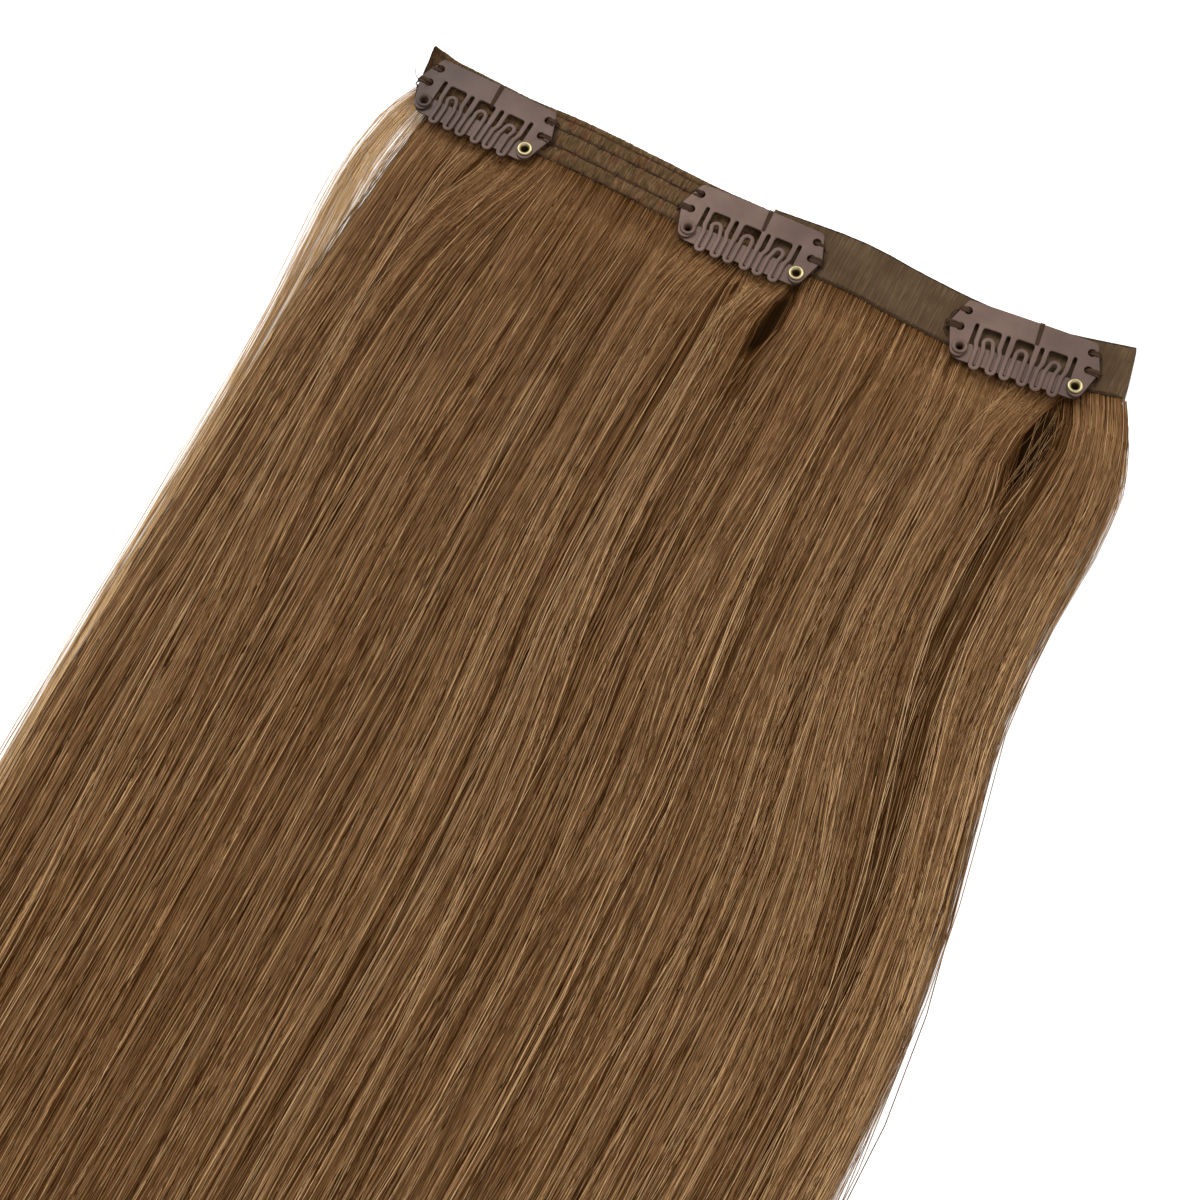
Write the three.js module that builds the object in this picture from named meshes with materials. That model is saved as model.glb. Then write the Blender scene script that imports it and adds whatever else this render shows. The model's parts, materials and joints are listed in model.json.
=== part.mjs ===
// Clip in hair extension: one weft of straight hair on a sewn band that carries three snap clips.
// Millimetres, +Z up. The band runs along X, the hair falls towards -Y and everything lies on z = 0.
// The origin is on the underside, below the middle of the band.

import * as THREE from "three";

// Band: its line is a table of places along it, as shares of the half width and of the height.
const BAND_WIDTH = 161;
const BAND_HEIGHT = 12;
const BAND_THICKNESS = 1.9;
const BAND_STATIONS = 32;
const CORNER_RISE = 1.2;
const CORNER_RUN = 5;
// How far the lower corner of each end lies to the right of its upper corner.
const LEFT_SLANT = 2.4;
const RIGHT_SLANT = 0.8;
const BAND_LINE = [
  { across: -1.0, rise: 0.3 },
  { across: -0.86, rise: 0.245 },
  { across: -0.7, rise: 0.178 },
  { across: -0.56, rise: 0.198 },
  { across: -0.37, rise: 0.14 },
  { across: -0.19, rise: 0.066 },
  { across: -0.07, rise: 0.046 },
  { across: 0.06, rise: 0.104 },
  { across: 0.2, rise: 0.184 },
  { across: 0.3, rise: 0.186 },
  { across: 0.42, rise: 0.1 },
  { across: 0.56, rise: 0.036 },
  { across: 0.68, rise: 0.036 },
  { across: 0.8, rise: 0.1 },
  { across: 0.9, rise: 0.235 },
  { across: 1.024, rise: 0.445 },
];
// The stitched face from its lower edge up: three sewn rows lie in valleys between soft ridges, a fourth
// at the lower edge.
const WEFT_PROFILE = [
  { up: 0.0, height: 0.55 },
  { up: 0.03, height: 0.8 },
  { up: 0.1, height: 1.0 },
  { up: 0.22, height: 1.0 },
  { up: 0.304, height: 0.84 },
  { up: 0.39, height: 1.0 },
  { up: 0.56, height: 1.0 },
  { up: 0.646, height: 0.84 },
  { up: 0.73, height: 1.0 },
  { up: 0.8, height: 1.0 },
  { up: 0.875, height: 0.86 },
  { up: 0.95, height: 1.0 },
  { up: 1.0, height: 0.65 },
];

// Cover tape: a smooth strip over the right part of the band, from below the middle clip.
const TAPE_WALL = 1.0;
const TAPE_START = 0.02;
const TAPE_MARGIN = 0.4;
const TAPE_STATIONS = 16;
const TAPE_PROFILE = [
  { up: 0.0, height: 0.62 },
  { up: 0.14, height: 0.86 },
  { up: 0.3, height: 1.0 },
  { up: 0.7, height: 1.0 },
  { up: 0.97, height: 1.0 },
  { up: 1.0, height: 0.7 },
];

// Hair: length and depth of the whole fall, then its outline and depth as shares down its length.
const HAIR_LENGTH = 400;
const HAIR_DEPTH = 9;
const ROOT_WALL = 0.8;
const ROOT_INSET = 1.5;
const HAIR_ROWS = 20;
const ROW_SPREAD = 1.6;
const ROW_CROWDING = 0.8;
const HAIR_LINE = [
  { down: 0.0, left: 0.98, right: 0.99, depth: 0.2 },
  { down: 0.017, left: 1.0, right: 1.05, depth: 0.25 },
  { down: 0.033, left: 1.015, right: 1.087, depth: 0.32 },
  { down: 0.06, left: 1.03, right: 1.122, depth: 0.5 },
  { down: 0.1, left: 1.02, right: 1.125, depth: 0.7 },
  { down: 0.17, left: 0.99, right: 1.095, depth: 0.88 },
  { down: 0.23, left: 0.98, right: 1.135, depth: 0.96 },
  { down: 0.32, left: 0.975, right: 1.205, depth: 1.0 },
  { down: 0.39, left: 0.97, right: 1.22, depth: 1.0 },
  { down: 0.46, left: 0.95, right: 1.205, depth: 0.98 },
  { down: 0.65, left: 0.91, right: 1.16, depth: 0.88 },
  { down: 0.85, left: 0.86, right: 1.1, depth: 0.62 },
  { down: 1.0, left: 0.82, right: 1.05, depth: 0.2 },
];
// Locks from left to right: relative width, crest as a share of the depth, length as a share, sideways drift.
const LOCKS = [
  { width: 1.0, crest: 0.86, reach: 0.965, drift: 0.25 },
  { width: 1.0, crest: 0.97, reach: 0.985, drift: -0.2 },
  { width: 0.85, crest: 0.9, reach: 0.975, drift: 0.3 },
  { width: 1.0, crest: 1.0, reach: 1.0, drift: -0.25 },
  { width: 1.08, crest: 0.93, reach: 0.985, drift: 0.2 },
  { width: 1.0, crest: 0.99, reach: 0.995, drift: -0.3 },
  { width: 1.2, crest: 0.95, reach: 0.98, drift: 0.2 },
  { width: 0.73, crest: 0.88, reach: 0.97, drift: -0.2 },
  { width: 1.0, crest: 1.0, reach: 1.0, drift: 0.3 },
  { width: 0.92, crest: 0.92, reach: 0.98, drift: -0.2 },
  { width: 0.92, crest: 0.98, reach: 0.99, drift: 0.25 },
  { width: 0.96, crest: 0.9, reach: 0.975, drift: -0.3 },
  { width: 1.04, crest: 0.94, reach: 0.96, drift: 0.0 },
];
const LOCK_STEPS = 4;
const VALLEY_AT_ROOT = 0.9;
const VALLEY_AT_TIP = 0.6;
const TIP_NOTCH = 0.03;
const TIP_FADE_FROM = 0.85;
// Shares of the length where the hair stops following the band's line, and where the clips end above it.
const LINE_FADE_FROM = 0.03;
const LINE_FADE_TO = 0.2;
const CLIP_CLEARANCE_DOWN = 0.03;
// Partings: dark gaps between locks just below the middle and right clips.
const PARTINGS = [
  { across: 0.15, down: 0.05, width: 0.05, length: 0.022, dent: 0.65 },
  { across: 0.87, down: 0.046, width: 0.05, length: 0.022, dent: 0.65 },
];

// Snap clip: a stamped sheet with end lobes, the toothed comb that flexes up from it, and a bar
// that is riveted below it. Heights are counted from the line through the two eyelets.
const CLIP_LENGTH = 32;
const PLATE_TOP = 11.1;
const PLATE_TOP_LENGTH = 0.8875 * CLIP_LENGTH;
const CORNER_RADIUS = 1.2;
const SHOULDER_HEIGHT = 4.9;
const SHOULDER_RADIUS = 0.8;
const SHEET = 0.45;
const EYELET_SPACING = 0.769 * CLIP_LENGTH;
const LOBE_RADIUS = 1.65;
const LOBE_SHIFT = 0.25;
const LOBE_DROP = 0.65;
const LOBE_SLOT = 0.85;
const FLEX_LINE = 6.5;
const FLEX_GAP = 0.3;
// Sewing holes: height as a share of the plate's, and distance in from the sloping side.
const SEWING_HOLE_RADIUS = 0.9;
const SEWING_HOLES = [
  { up: 0.77, inset: 1.7 },
  { up: 0.405, inset: 2.3 },
];
// The comb: heights, the bridge over its windows and their corners, then widths and places along it
// as shares of its half length.
const TOOTH_REACH = 4.1;
const LOOP_CAP = 2.7;
const BRIDGE = 0.4;
const WINDOW_CORNER = 0.5;
const JOG_TOP = 2.4;
const JOG_LOW = 0.8;
const TOOTH_SHARE = 0.24;
const STRIP_SHARE = 0.09;
const WINDOW_SHARE = 0.393;
const LEG_SLOT_SHARE = 0.085;
const TOOTH_PLACES = [0.184, 0.475, 0.827];
const WINDOW_PLACES = [-0.702, 0, 0.702];
const LEG_SLOT_PLACE = 0.36;
const BAR_LENGTH = 0.878 * CLIP_LENGTH;
const BAR_TOP = 1.65;
const BAR_LOW = 2.6;
const BAR_SHEET = 0.4;

// Eyelets: hollow rivets with a rolled flange above the sheet and another below the bar.
const EYELET_BORE = 0.7;
const EYELET_WALL = 0.2;
const FLANGE_RADIUS = 1.65;
const FLANGE_SHEET = 0.3;
const EYELET_SIDES = 12;

// Clearances: between soft layers, between the riveted sheets, and round a rivet's barrel.
const GAP = 0.3;
const SHEET_GAP = 0.15;
const RIVET_GAP = 0.1;
const ARC_STEPS = 4;
const HOLE_SIDES = 10;

// Clips: place along the band, height of the eyelet line above the band's lower edge, and turn in degrees.
const CLIPS = [
  { name: "clip_left", across: -0.795, rise: -0.056, turn: -2.2 },
  { name: "clip_middle", across: -0.004, rise: -0.054, turn: 1.2 },
  { name: "clip_right", across: 0.76, rise: 0.043, turn: 5.3 },
];

// Levels, from the surface up.
const halfWidth = BAND_WIDTH / 2;
const halfHeight = BAND_HEIGHT / 2;
const bandLeft = BAND_LINE[0].across * halfWidth;
const bandRight = BAND_LINE[BAND_LINE.length - 1].across * halfWidth;
const bandFloor = ROOT_WALL + GAP;
const bandTop = bandFloor + BAND_THICKNESS;
const tapeFloor = bandTop - TAPE_WALL;
const tuckedTop = tapeFloor - GAP;
const barFloor = bandTop + FLANGE_SHEET + RIVET_GAP;
const sheetFloor = barFloor + BAR_SHEET + SHEET_GAP;
const flangeFloor = sheetFloor + SHEET + RIVET_GAP;
const eyeletTop = flangeFloor + FLANGE_SHEET;
const hairUnderClip = bandTop - GAP;
const hairEdge = halfHeight + TAPE_MARGIN / 2 + GAP;

const material = (color, roughness, metalness = 0) =>
  new THREE.MeshStandardMaterial({ color, roughness, metalness });
const hairFinish = material(0x7a5632, 0.55);
const weftFinish = material(0x5f4a35, 0.85);
const tapeFinish = material(0x6a5a48, 0.7);
const paintFinish = material(0x7a6660, 0.4, 0.3);
const brassFinish = material(0xc2a75f, 0.3, 1);

// Value of one column of a table at a place, on a smooth curve through the rows.
function valueAt(table, key, column, place) {
  const last = table.length - 1;
  const clamped = THREE.MathUtils.clamp(place, table[0][key], table[last][key]);
  let i = 0;
  while (i < last - 1 && table[i + 1][key] < clamped) i += 1;
  const slope = (a, b) => (table[b][column] - table[a][column]) / (table[b][key] - table[a][key]);
  const tangent = (k) => slope(Math.max(k - 1, 0), Math.min(k + 1, last));
  const span = table[i + 1][key] - table[i][key];
  const t = (clamped - table[i][key]) / span;
  const from = table[i][column] * (1 + 2 * t) * (1 - t) ** 2 + tangent(i) * span * t * (1 - t) ** 2;
  const to = table[i + 1][column] * t * t * (3 - 2 * t) - tangent(i + 1) * span * t * t * (1 - t);
  return from + to;
}

const smooth = (low, high, x) => THREE.MathUtils.smoothstep(x, low, high);
const lineAt = (x) => valueAt(BAND_LINE, "across", "rise", x / halfWidth) * BAND_HEIGHT;

// Sideways shift of the band's points near its slanted ends, at a share of its height.
function slantAt(x, up) {
  const nearLeft = THREE.MathUtils.clamp(1 - (x - bandLeft) / CORNER_RUN, 0, 1);
  const nearRight = THREE.MathUtils.clamp(1 - (bandRight - x) / CORNER_RUN, 0, 1);
  return (LEFT_SLANT * nearLeft + RIGHT_SLANT * nearRight) * (0.5 - up);
}

// Point beside the band's line: x along it, n square to it towards the top edge.
function besideLine(x, n, z) {
  const step = 0.5;
  const slope = (lineAt(x + step) - lineAt(x - step)) / (2 * step);
  const lean = Math.atan(slope);
  return new THREE.Vector3(x - n * Math.sin(lean), lineAt(x) + n * Math.cos(lean), z);
}

// Closed slab under rows of points: flat underside at floor and upright walls. The underside has one
// face for every stride columns, so between the first and the last row it holds only those points.
function reliefSolid(rows, floor, stride) {
  const columns = rows[0].length - 1;
  const last = rows.length - 1;
  const positions = [];
  const faces = [];
  const add = (x, y, z) => positions.push(x, y, z) / 3 - 1;
  const quad = (a, b, c, d) => faces.push(a, b, c, a, c, d);
  const top = rows.map((row) => row.map((p) => add(p.x, p.y, p.z)));
  const onBase = (r, c) => r === 0 || r === last || c % stride === 0;
  const base = rows.map((row, r) => row.map((p, c) => (onBase(r, c) ? add(p.x, p.y, floor) : -1)));
  for (let r = 0; r < last; r += 1) {
    quad(base[r][0], base[r + 1][0], top[r + 1][0], top[r][0]);
    quad(base[r + 1][columns], base[r][columns], top[r][columns], top[r + 1][columns]);
    for (let c = 0; c < columns; c += 1) quad(top[r][c], top[r + 1][c], top[r + 1][c + 1], top[r][c + 1]);
    for (let c = 0; c < columns; c += stride) {
      const a = base[r][c];
      const b = base[r][c + stride];
      const below = base[r + 1][c];
      const belowNext = base[r + 1][c + stride];
      if (r === 0) {
        for (let i = c; i < c + stride; i += 1) faces.push(below, base[0][i], base[0][i + 1]);
        faces.push(below, b, belowNext);
      } else if (r === last - 1) {
        faces.push(a, b, belowNext);
        for (let i = c + stride; i > c; i -= 1) faces.push(a, base[last][i], base[last][i - 1]);
      } else {
        quad(a, b, belowNext, below);
      }
    }
  }
  for (let c = 0; c < columns; c += 1) {
    quad(base[0][c + 1], base[0][c], top[0][c], top[0][c + 1]);
    quad(base[last][c], base[last][c + 1], top[last][c + 1], top[last][c]);
  }
  const geometry = new THREE.BufferGeometry();
  geometry.setAttribute("position", new THREE.Float32BufferAttribute(positions, 3));
  geometry.setIndex(faces);
  geometry.computeVertexNormals();
  return geometry;
}

// Strip along the band's line from one place to another, with a relief that is given across it.
function bandStrip({ from, to, stations, profile, height, topAt, edgeAt, floor }) {
  const rows = [];
  for (let i = 0; i <= stations; i += 1) {
    const x = THREE.MathUtils.lerp(from, to, i / stations);
    rows.push(
      profile.map((row) => {
        const place = besideLine(x, (row.up - 0.5) * height + row.up * edgeAt(x), topAt(row, x));
        place.x += slantAt(x, row.up);
        return place;
      }),
    );
  }
  return reliefSolid(rows, floor, profile.length - 1);
}

function weftGeometry() {
  const tapeFrom = TAPE_START * halfWidth;
  const station = (bandRight - bandLeft) / BAND_STATIONS;
  return bandStrip({
    from: bandLeft,
    to: bandRight,
    stations: BAND_STATIONS,
    profile: WEFT_PROFILE,
    height: BAND_HEIGHT,
    topAt: (row, x) => {
      const full = bandFloor + row.height * BAND_THICKNESS;
      return x > tapeFrom - station ? Math.min(full, tuckedTop) : full;
    },
    edgeAt: (x) => CORNER_RISE * Math.max(0, 1 - (x - bandLeft) / CORNER_RUN),
    floor: bandFloor,
  });
}

function tapeGeometry() {
  return bandStrip({
    from: TAPE_START * halfWidth,
    to: bandRight + TAPE_MARGIN,
    stations: TAPE_STATIONS,
    profile: TAPE_PROFILE,
    height: BAND_HEIGHT + TAPE_MARGIN,
    topAt: (row) => tapeFloor + row.height * TAPE_WALL,
    edgeAt: () => 0,
    floor: tapeFloor,
  });
}

// Distances of the hair's rows below the band's line: the tucked root, the step at the edge, the fall.
function hairDistances() {
  const edge = hairEdge;
  const fall = edge + GAP;
  const rows = [ROOT_INSET - halfHeight, edge];
  for (let i = 0; i <= HAIR_ROWS; i += 1) {
    const t = i / HAIR_ROWS;
    rows.push(fall + (HAIR_LENGTH - fall) * t ** ROW_SPREAD * (1 + ROW_CROWDING * (1 - t)));
  }
  return rows;
}

// One entry for each column of the hair: its lock, the place within the lock and the place across.
function hairColumns() {
  const total = LOCKS.reduce((sum, lock) => sum + lock.width, 0);
  const columns = [];
  let start = 0;
  LOCKS.forEach((lock, k) => {
    for (let s = 0; s < LOCK_STEPS; s += 1) {
      const within = s / LOCK_STEPS;
      const across = (start + within * lock.width) / total;
      columns.push({ lock, before: LOCKS[Math.max(k - 1, 0)], within, across });
    }
    start += lock.width;
  });
  const lastLock = LOCKS[LOCKS.length - 1];
  columns.push({ lock: lastLock, before: lastLock, within: 1, across: 1 });
  return columns;
}

// How far a parting lowers the hair at a point, from 1 for not at all.
function partingFactor(x, down) {
  return PARTINGS.reduce((factor, parting) => {
    const dx = (x / halfWidth - parting.across) / parting.width;
    const dy = (down - parting.down) / parting.length;
    return factor * (1 - parting.dent * Math.exp(-dx * dx - dy * dy));
  }, 1);
}

function hairPoint(column, distance) {
  const down = Math.max(distance, 0) / HAIR_LENGTH;
  const { lock, before, within, across } = column;
  const ridge = Math.sin(Math.PI * within) ** 0.8;
  const left = -valueAt(HAIR_LINE, "down", "left", down) * halfWidth;
  const right = valueAt(HAIR_LINE, "down", "right", down) * halfWidth;
  const sway = lock.drift * Math.sin(Math.PI * across) * Math.sin(2 * Math.PI * down);
  const x = THREE.MathUtils.lerp(left, right, across) + (sway * lock.width * BAND_WIDTH) / LOCKS.length / 4;
  const onLine = 1 - smooth(LINE_FADE_FROM, LINE_FADE_TO, down);
  const inset = Math.min(distance, hairEdge);
  const shift = besideLine(x, -inset, 0).sub(new THREE.Vector3(x, -inset, 0)).multiplyScalar(onLine);
  const reach = within === 0 ? Math.min(lock.reach, before.reach) : lock.reach;
  const shorter = 1 - reach + TIP_NOTCH * (1 - ridge);
  const y = -distance * (1 - shorter * smooth(TIP_FADE_FROM, 1, down));
  const valley = THREE.MathUtils.lerp(VALLEY_AT_ROOT, VALLEY_AT_TIP, smooth(0.02, 1, down));
  const crest = within === 0 ? Math.min(lock.crest, before.crest) : lock.crest;
  const dome = 1 - 0.75 * Math.abs(2 * across - 1) ** 6;
  const depth = HAIR_DEPTH * valueAt(HAIR_LINE, "down", "depth", down) * dome;
  const height = depth * crest * (valley + (1 - valley) * ridge) * partingFactor(x, down);
  const clearOfClips = down < CLIP_CLEARANCE_DOWN ? hairUnderClip : HAIR_DEPTH;
  const z = distance > hairEdge ? Math.min(Math.max(height, ROOT_WALL), clearOfClips) : ROOT_WALL;
  return new THREE.Vector3(x, y, z).add(shift);
}

function hairGeometry() {
  const columns = hairColumns();
  const rows = hairDistances().map((distance) => columns.map((column) => hairPoint(column, distance)));
  return reliefSolid(rows, 0, LOCK_STEPS);
}

// Points of an arc from one angle to another, in degrees.
function arc(x, y, radius, from, to, steps = ARC_STEPS) {
  return Array.from({ length: steps + 1 }, (_, i) => {
    const angle = THREE.MathUtils.degToRad(THREE.MathUtils.lerp(from, to, i / steps));
    return new THREE.Vector2(x + radius * Math.cos(angle), y + radius * Math.sin(angle));
  });
}

const circle = (x, y, radius, sides) => arc(x, y, radius, 0, 360 * (1 - 1 / sides), sides - 1);
const point = (x, y) => new THREE.Vector2(x, y);
const mirrored = (points) => points.map((p) => point(-p.x, p.y)).reverse();

function sheetGeometry(outline, holes, thickness) {
  const shape = new THREE.Shape(outline);
  shape.holes = holes.map((hole) => new THREE.Path(hole));
  return new THREE.ExtrudeGeometry(shape, { depth: thickness, bevelEnabled: false, steps: 1 });
}

const eyeletX = EYELET_SPACING / 2;
const rivetHole = EYELET_BORE + EYELET_WALL + RIVET_GAP;
const rivetHoles = () => [-eyeletX, eyeletX].map((x) => circle(x, 0, rivetHole, EYELET_SIDES));
const lobeX = eyeletX + LOBE_SHIFT;
const lobeInner = lobeX - LOBE_RADIUS;
const combHalf = lobeInner - LOBE_SLOT;
const toothWidth = TOOTH_SHARE * combHalf;
const stripWidth = STRIP_SHARE * combHalf;
const windowWidth = WINDOW_SHARE * combHalf;
const legSlotWidth = LEG_SLOT_SHARE * combHalf;
const combTop = FLEX_LINE - FLEX_GAP / 2;
const windowTop = combTop - BRIDGE;

// Angle at which the common tangent on the right of two round corners faces; a lies above b.
function sideAngle(a, b) {
  const along = Math.atan2(a.y - b.y, a.x - b.x);
  const apart = Math.hypot(a.x - b.x, a.y - b.y);
  return THREE.MathUtils.radToDeg(along - Math.acos((b.radius - a.radius) / apart));
}

function plateGeometry() {
  const cornerX = PLATE_TOP_LENGTH / 2 - CORNER_RADIUS;
  const corner = { x: cornerX, y: PLATE_TOP - CORNER_RADIUS, radius: CORNER_RADIUS };
  const shoulder = { x: CLIP_LENGTH / 2 - SHOULDER_RADIUS, y: SHOULDER_HEIGHT, radius: SHOULDER_RADIUS };
  const lobe = { x: lobeX, y: -LOBE_DROP, radius: LOBE_RADIUS };
  const upperSide = sideAngle(corner, shoulder);
  const lowerSide = sideAngle(shoulder, lobe);
  const half = [
    ...arc(corner.x, corner.y, corner.radius, 90, upperSide),
    ...arc(shoulder.x, shoulder.y, shoulder.radius, upperSide, lowerSide),
    ...arc(lobe.x, lobe.y, lobe.radius, lowerSide, -180, ARC_STEPS + 2),
    point(lobeInner, FLEX_LINE + FLEX_GAP / 2),
  ];
  const sewing = SEWING_HOLES.flatMap(({ up, inset }) => {
    const y = up * PLATE_TOP;
    const rise = THREE.MathUtils.clamp((y - SHOULDER_HEIGHT) / (PLATE_TOP - SHOULDER_HEIGHT), 0, 1);
    const x = THREE.MathUtils.lerp(CLIP_LENGTH, PLATE_TOP_LENGTH, rise) / 2 - inset;
    return [-x, x].map((place) => circle(place, y, SEWING_HOLE_RADIUS, HOLE_SIDES));
  });
  return sheetGeometry([...half, ...mirrored(half)], [...sewing, ...rivetHoles()], SHEET);
}

// The comb's lower edge runs down and up: six round teeth, with slots between them. The slot between the
// teeth of a pair leans so that its round top is below the middle of their window.
function combOutline(teeth, windows) {
  const reach = toothWidth / 2;
  const legSlot = legSlotWidth / 2;
  const outline = [point(-combHalf, JOG_TOP), point(teeth[0] - reach, JOG_LOW)];
  teeth.forEach((centre, i) => {
    outline.push(...arc(centre, reach - TOOTH_REACH, reach, 180, 360, ARC_STEPS + 2));
    if (i === teeth.length - 1) return;
    const next = teeth[i + 1];
    const middle = (centre + next) / 2;
    if (i % 2 === 0) {
      outline.push(point(centre + reach, JOG_LOW));
      outline.push(...arc(windows[i / 2], LOOP_CAP, (next - centre) / 2 - reach, 180, 0));
      outline.push(point(next - reach, JOG_LOW));
      return;
    }
    const slotX = Math.sign(middle) * LEG_SLOT_PLACE * combHalf;
    outline.push(point(centre + reach, JOG_LOW), point(slotX - legSlot, JOG_TOP));
    outline.push(...arc(slotX, windowTop - legSlot, legSlot, 180, 0));
    outline.push(point(slotX + legSlot, JOG_TOP), point(next - reach, JOG_LOW));
  });
  outline.push(point(teeth[teeth.length - 1] + reach, JOG_LOW), point(combHalf, JOG_TOP));
  return [...outline, point(combHalf, combTop), point(-combHalf, combTop)];
}

// Window round one loop of the strip, open down into the slots of the two teeth beside it.
function windowOutline(centre, left, right) {
  const slot = toothWidth / 2 - stripWidth;
  const foot = toothWidth / 2 - TOOTH_REACH;
  const side = windowWidth / 2 - WINDOW_CORNER;
  return [
    ...arc(centre - side, windowTop - WINDOW_CORNER, WINDOW_CORNER, 180, 90, 2),
    ...arc(centre + side, windowTop - WINDOW_CORNER, WINDOW_CORNER, 90, 0, 2),
    point(centre + windowWidth / 2, JOG_TOP),
    point(right + slot, JOG_LOW),
    ...arc(right, foot, slot, 0, -180),
    point(right - slot, JOG_LOW),
    ...arc(centre, LOOP_CAP, (right - left) / 2 - slot, 0, 180, ARC_STEPS + 2),
    point(left + slot, JOG_LOW),
    ...arc(left, foot, slot, 0, -180),
    point(left - slot, JOG_LOW),
    point(centre - windowWidth / 2, JOG_TOP),
  ];
}

function combGeometry() {
  const right = TOOTH_PLACES.map((share) => share * combHalf);
  const teeth = [...right.map((x) => -x).reverse(), ...right];
  const windows = WINDOW_PLACES.map((share) => share * combHalf);
  const holes = windows.map((centre, i) => windowOutline(centre, teeth[2 * i], teeth[2 * i + 1]));
  return sheetGeometry(combOutline(teeth, windows), holes, SHEET);
}

function barGeometry() {
  const radius = (BAR_TOP + BAR_LOW) / 2;
  const middle = (BAR_TOP - BAR_LOW) / 2;
  const end = BAR_LENGTH / 2 - radius;
  const half = arc(end, middle, radius, 90, -90, ARC_STEPS + 2);
  return sheetGeometry([...half, ...mirrored(half)], rivetHoles(), BAR_SHEET);
}

function eyeletGeometry() {
  const barrel = EYELET_BORE + EYELET_WALL;
  const roll = FLANGE_SHEET / 2;
  const profile = [
    [EYELET_BORE, bandTop],
    [FLANGE_RADIUS, bandTop],
    [FLANGE_RADIUS, bandTop + FLANGE_SHEET],
    [barrel, bandTop + FLANGE_SHEET],
    [barrel, flangeFloor],
    [FLANGE_RADIUS, flangeFloor],
    [FLANGE_RADIUS, flangeFloor + roll],
    [FLANGE_RADIUS - roll, eyeletTop],
    [EYELET_BORE, eyeletTop],
    [EYELET_BORE, bandTop],
  ].map(([radius, z]) => point(radius, z));
  return new THREE.LatheGeometry(profile, EYELET_SIDES).rotateX(Math.PI / 2);
}

function mesh(name, geometry, finish, x = 0, z = 0) {
  const made = new THREE.Mesh(geometry, finish);
  made.name = name;
  made.position.set(x, 0, z);
  return made;
}

function snapClip({ name, across, rise, turn }) {
  const clip = new THREE.Group();
  const x = across * halfWidth;
  clip.position.set(x, lineAt(x) - halfHeight + rise * BAND_HEIGHT, 0);
  clip.rotation.z = THREE.MathUtils.degToRad(turn);
  clip.add(mesh(`${name}_plate`, plateGeometry(), paintFinish, 0, sheetFloor));
  clip.add(mesh(`${name}_comb`, combGeometry(), paintFinish, 0, sheetFloor));
  clip.add(mesh(`${name}_bar`, barGeometry(), paintFinish, 0, barFloor));
  clip.add(mesh(`${name}_eyelet_painted`, eyeletGeometry(), paintFinish, -eyeletX));
  clip.add(mesh(`${name}_eyelet_brass`, eyeletGeometry(), brassFinish, eyeletX));
  return clip;
}

const hairExtension = new THREE.Group();
hairExtension.add(mesh("hair", hairGeometry(), hairFinish));
hairExtension.add(mesh("weft_band", weftGeometry(), weftFinish));
hairExtension.add(mesh("cover_tape", tapeGeometry(), tapeFinish));
CLIPS.forEach((row) => hairExtension.add(snapClip(row)));

export default hairExtension;
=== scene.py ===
"""Looks of a clip in hair extension: hair, stitched band, sealed tape, painted snap clips and threads."""

import json
import math

import bmesh
import bpy
import numpy as np
from mathutils import Matrix, Vector, noise
from mathutils.bvhtree import BVHTree


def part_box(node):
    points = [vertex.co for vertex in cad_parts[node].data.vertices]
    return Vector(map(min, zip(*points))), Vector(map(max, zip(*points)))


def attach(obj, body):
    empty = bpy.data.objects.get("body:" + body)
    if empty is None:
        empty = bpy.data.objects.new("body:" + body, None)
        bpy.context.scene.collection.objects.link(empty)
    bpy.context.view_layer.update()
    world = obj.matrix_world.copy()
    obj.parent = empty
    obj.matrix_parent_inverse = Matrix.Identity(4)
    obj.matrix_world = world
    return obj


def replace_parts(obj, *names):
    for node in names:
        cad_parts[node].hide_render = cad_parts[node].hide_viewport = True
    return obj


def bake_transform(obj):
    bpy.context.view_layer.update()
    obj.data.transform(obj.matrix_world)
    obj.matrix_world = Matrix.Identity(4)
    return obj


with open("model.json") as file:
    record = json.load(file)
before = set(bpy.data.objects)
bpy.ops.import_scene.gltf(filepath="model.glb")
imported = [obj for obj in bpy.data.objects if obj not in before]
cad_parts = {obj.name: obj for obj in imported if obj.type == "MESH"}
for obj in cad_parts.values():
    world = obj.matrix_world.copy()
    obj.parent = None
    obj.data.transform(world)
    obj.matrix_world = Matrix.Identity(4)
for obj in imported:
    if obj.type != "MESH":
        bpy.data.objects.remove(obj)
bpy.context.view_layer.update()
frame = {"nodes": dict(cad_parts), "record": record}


def table(names, *rows):
    """Rows of values under the same names."""
    return [dict(zip(names.split(), row)) for row in rows]


MM = 0.001
SEED = 11
CLIP_NAMES = ("left", "middle", "right")

# View: the camera stands as in the photograph.
AZIMUTH, ELEVATION = 27.03, 67.72
DISTANCE = 498.3 * MM
LOOK_AT = Vector((9.06, -88.79, 4.4)) * MM
LENS = 76.54

# Hair: strand counts and sizes, in millimetres. The flow counts FALL_WIDTH millimetres across the fall.
FALL_WIDTH = 180.0
STRAND_PIECES = 6
STRANDS_IN_PIECE = 1050
STRAND_POINTS = 20
STRAND_RADIUS = (0.045, 0.125)
STRAND_SIDES = 3
LOCK_WIDTH = (2.5, 8.0)
TUFT_WIDTH = 0.7
STRAY_COUNT = 170
CROSSING_COUNT = 18
RIGHT_WISPS = 44
# The hair's end: its side walls stop at WALLS_END, and the line of its tips is smoothed over TIP_BLUR places
# to each side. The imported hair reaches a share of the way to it, ragged by RAGGED_END, and the strands reach
# from LONGEST of the way to SHORTER less.
WALLS_END = -372.0
TIP_BLUR = 14
BASE_REACH, RAGGED_END = 0.965, 6.0
LONGEST, SHORTER = 1.012, 0.09
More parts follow.
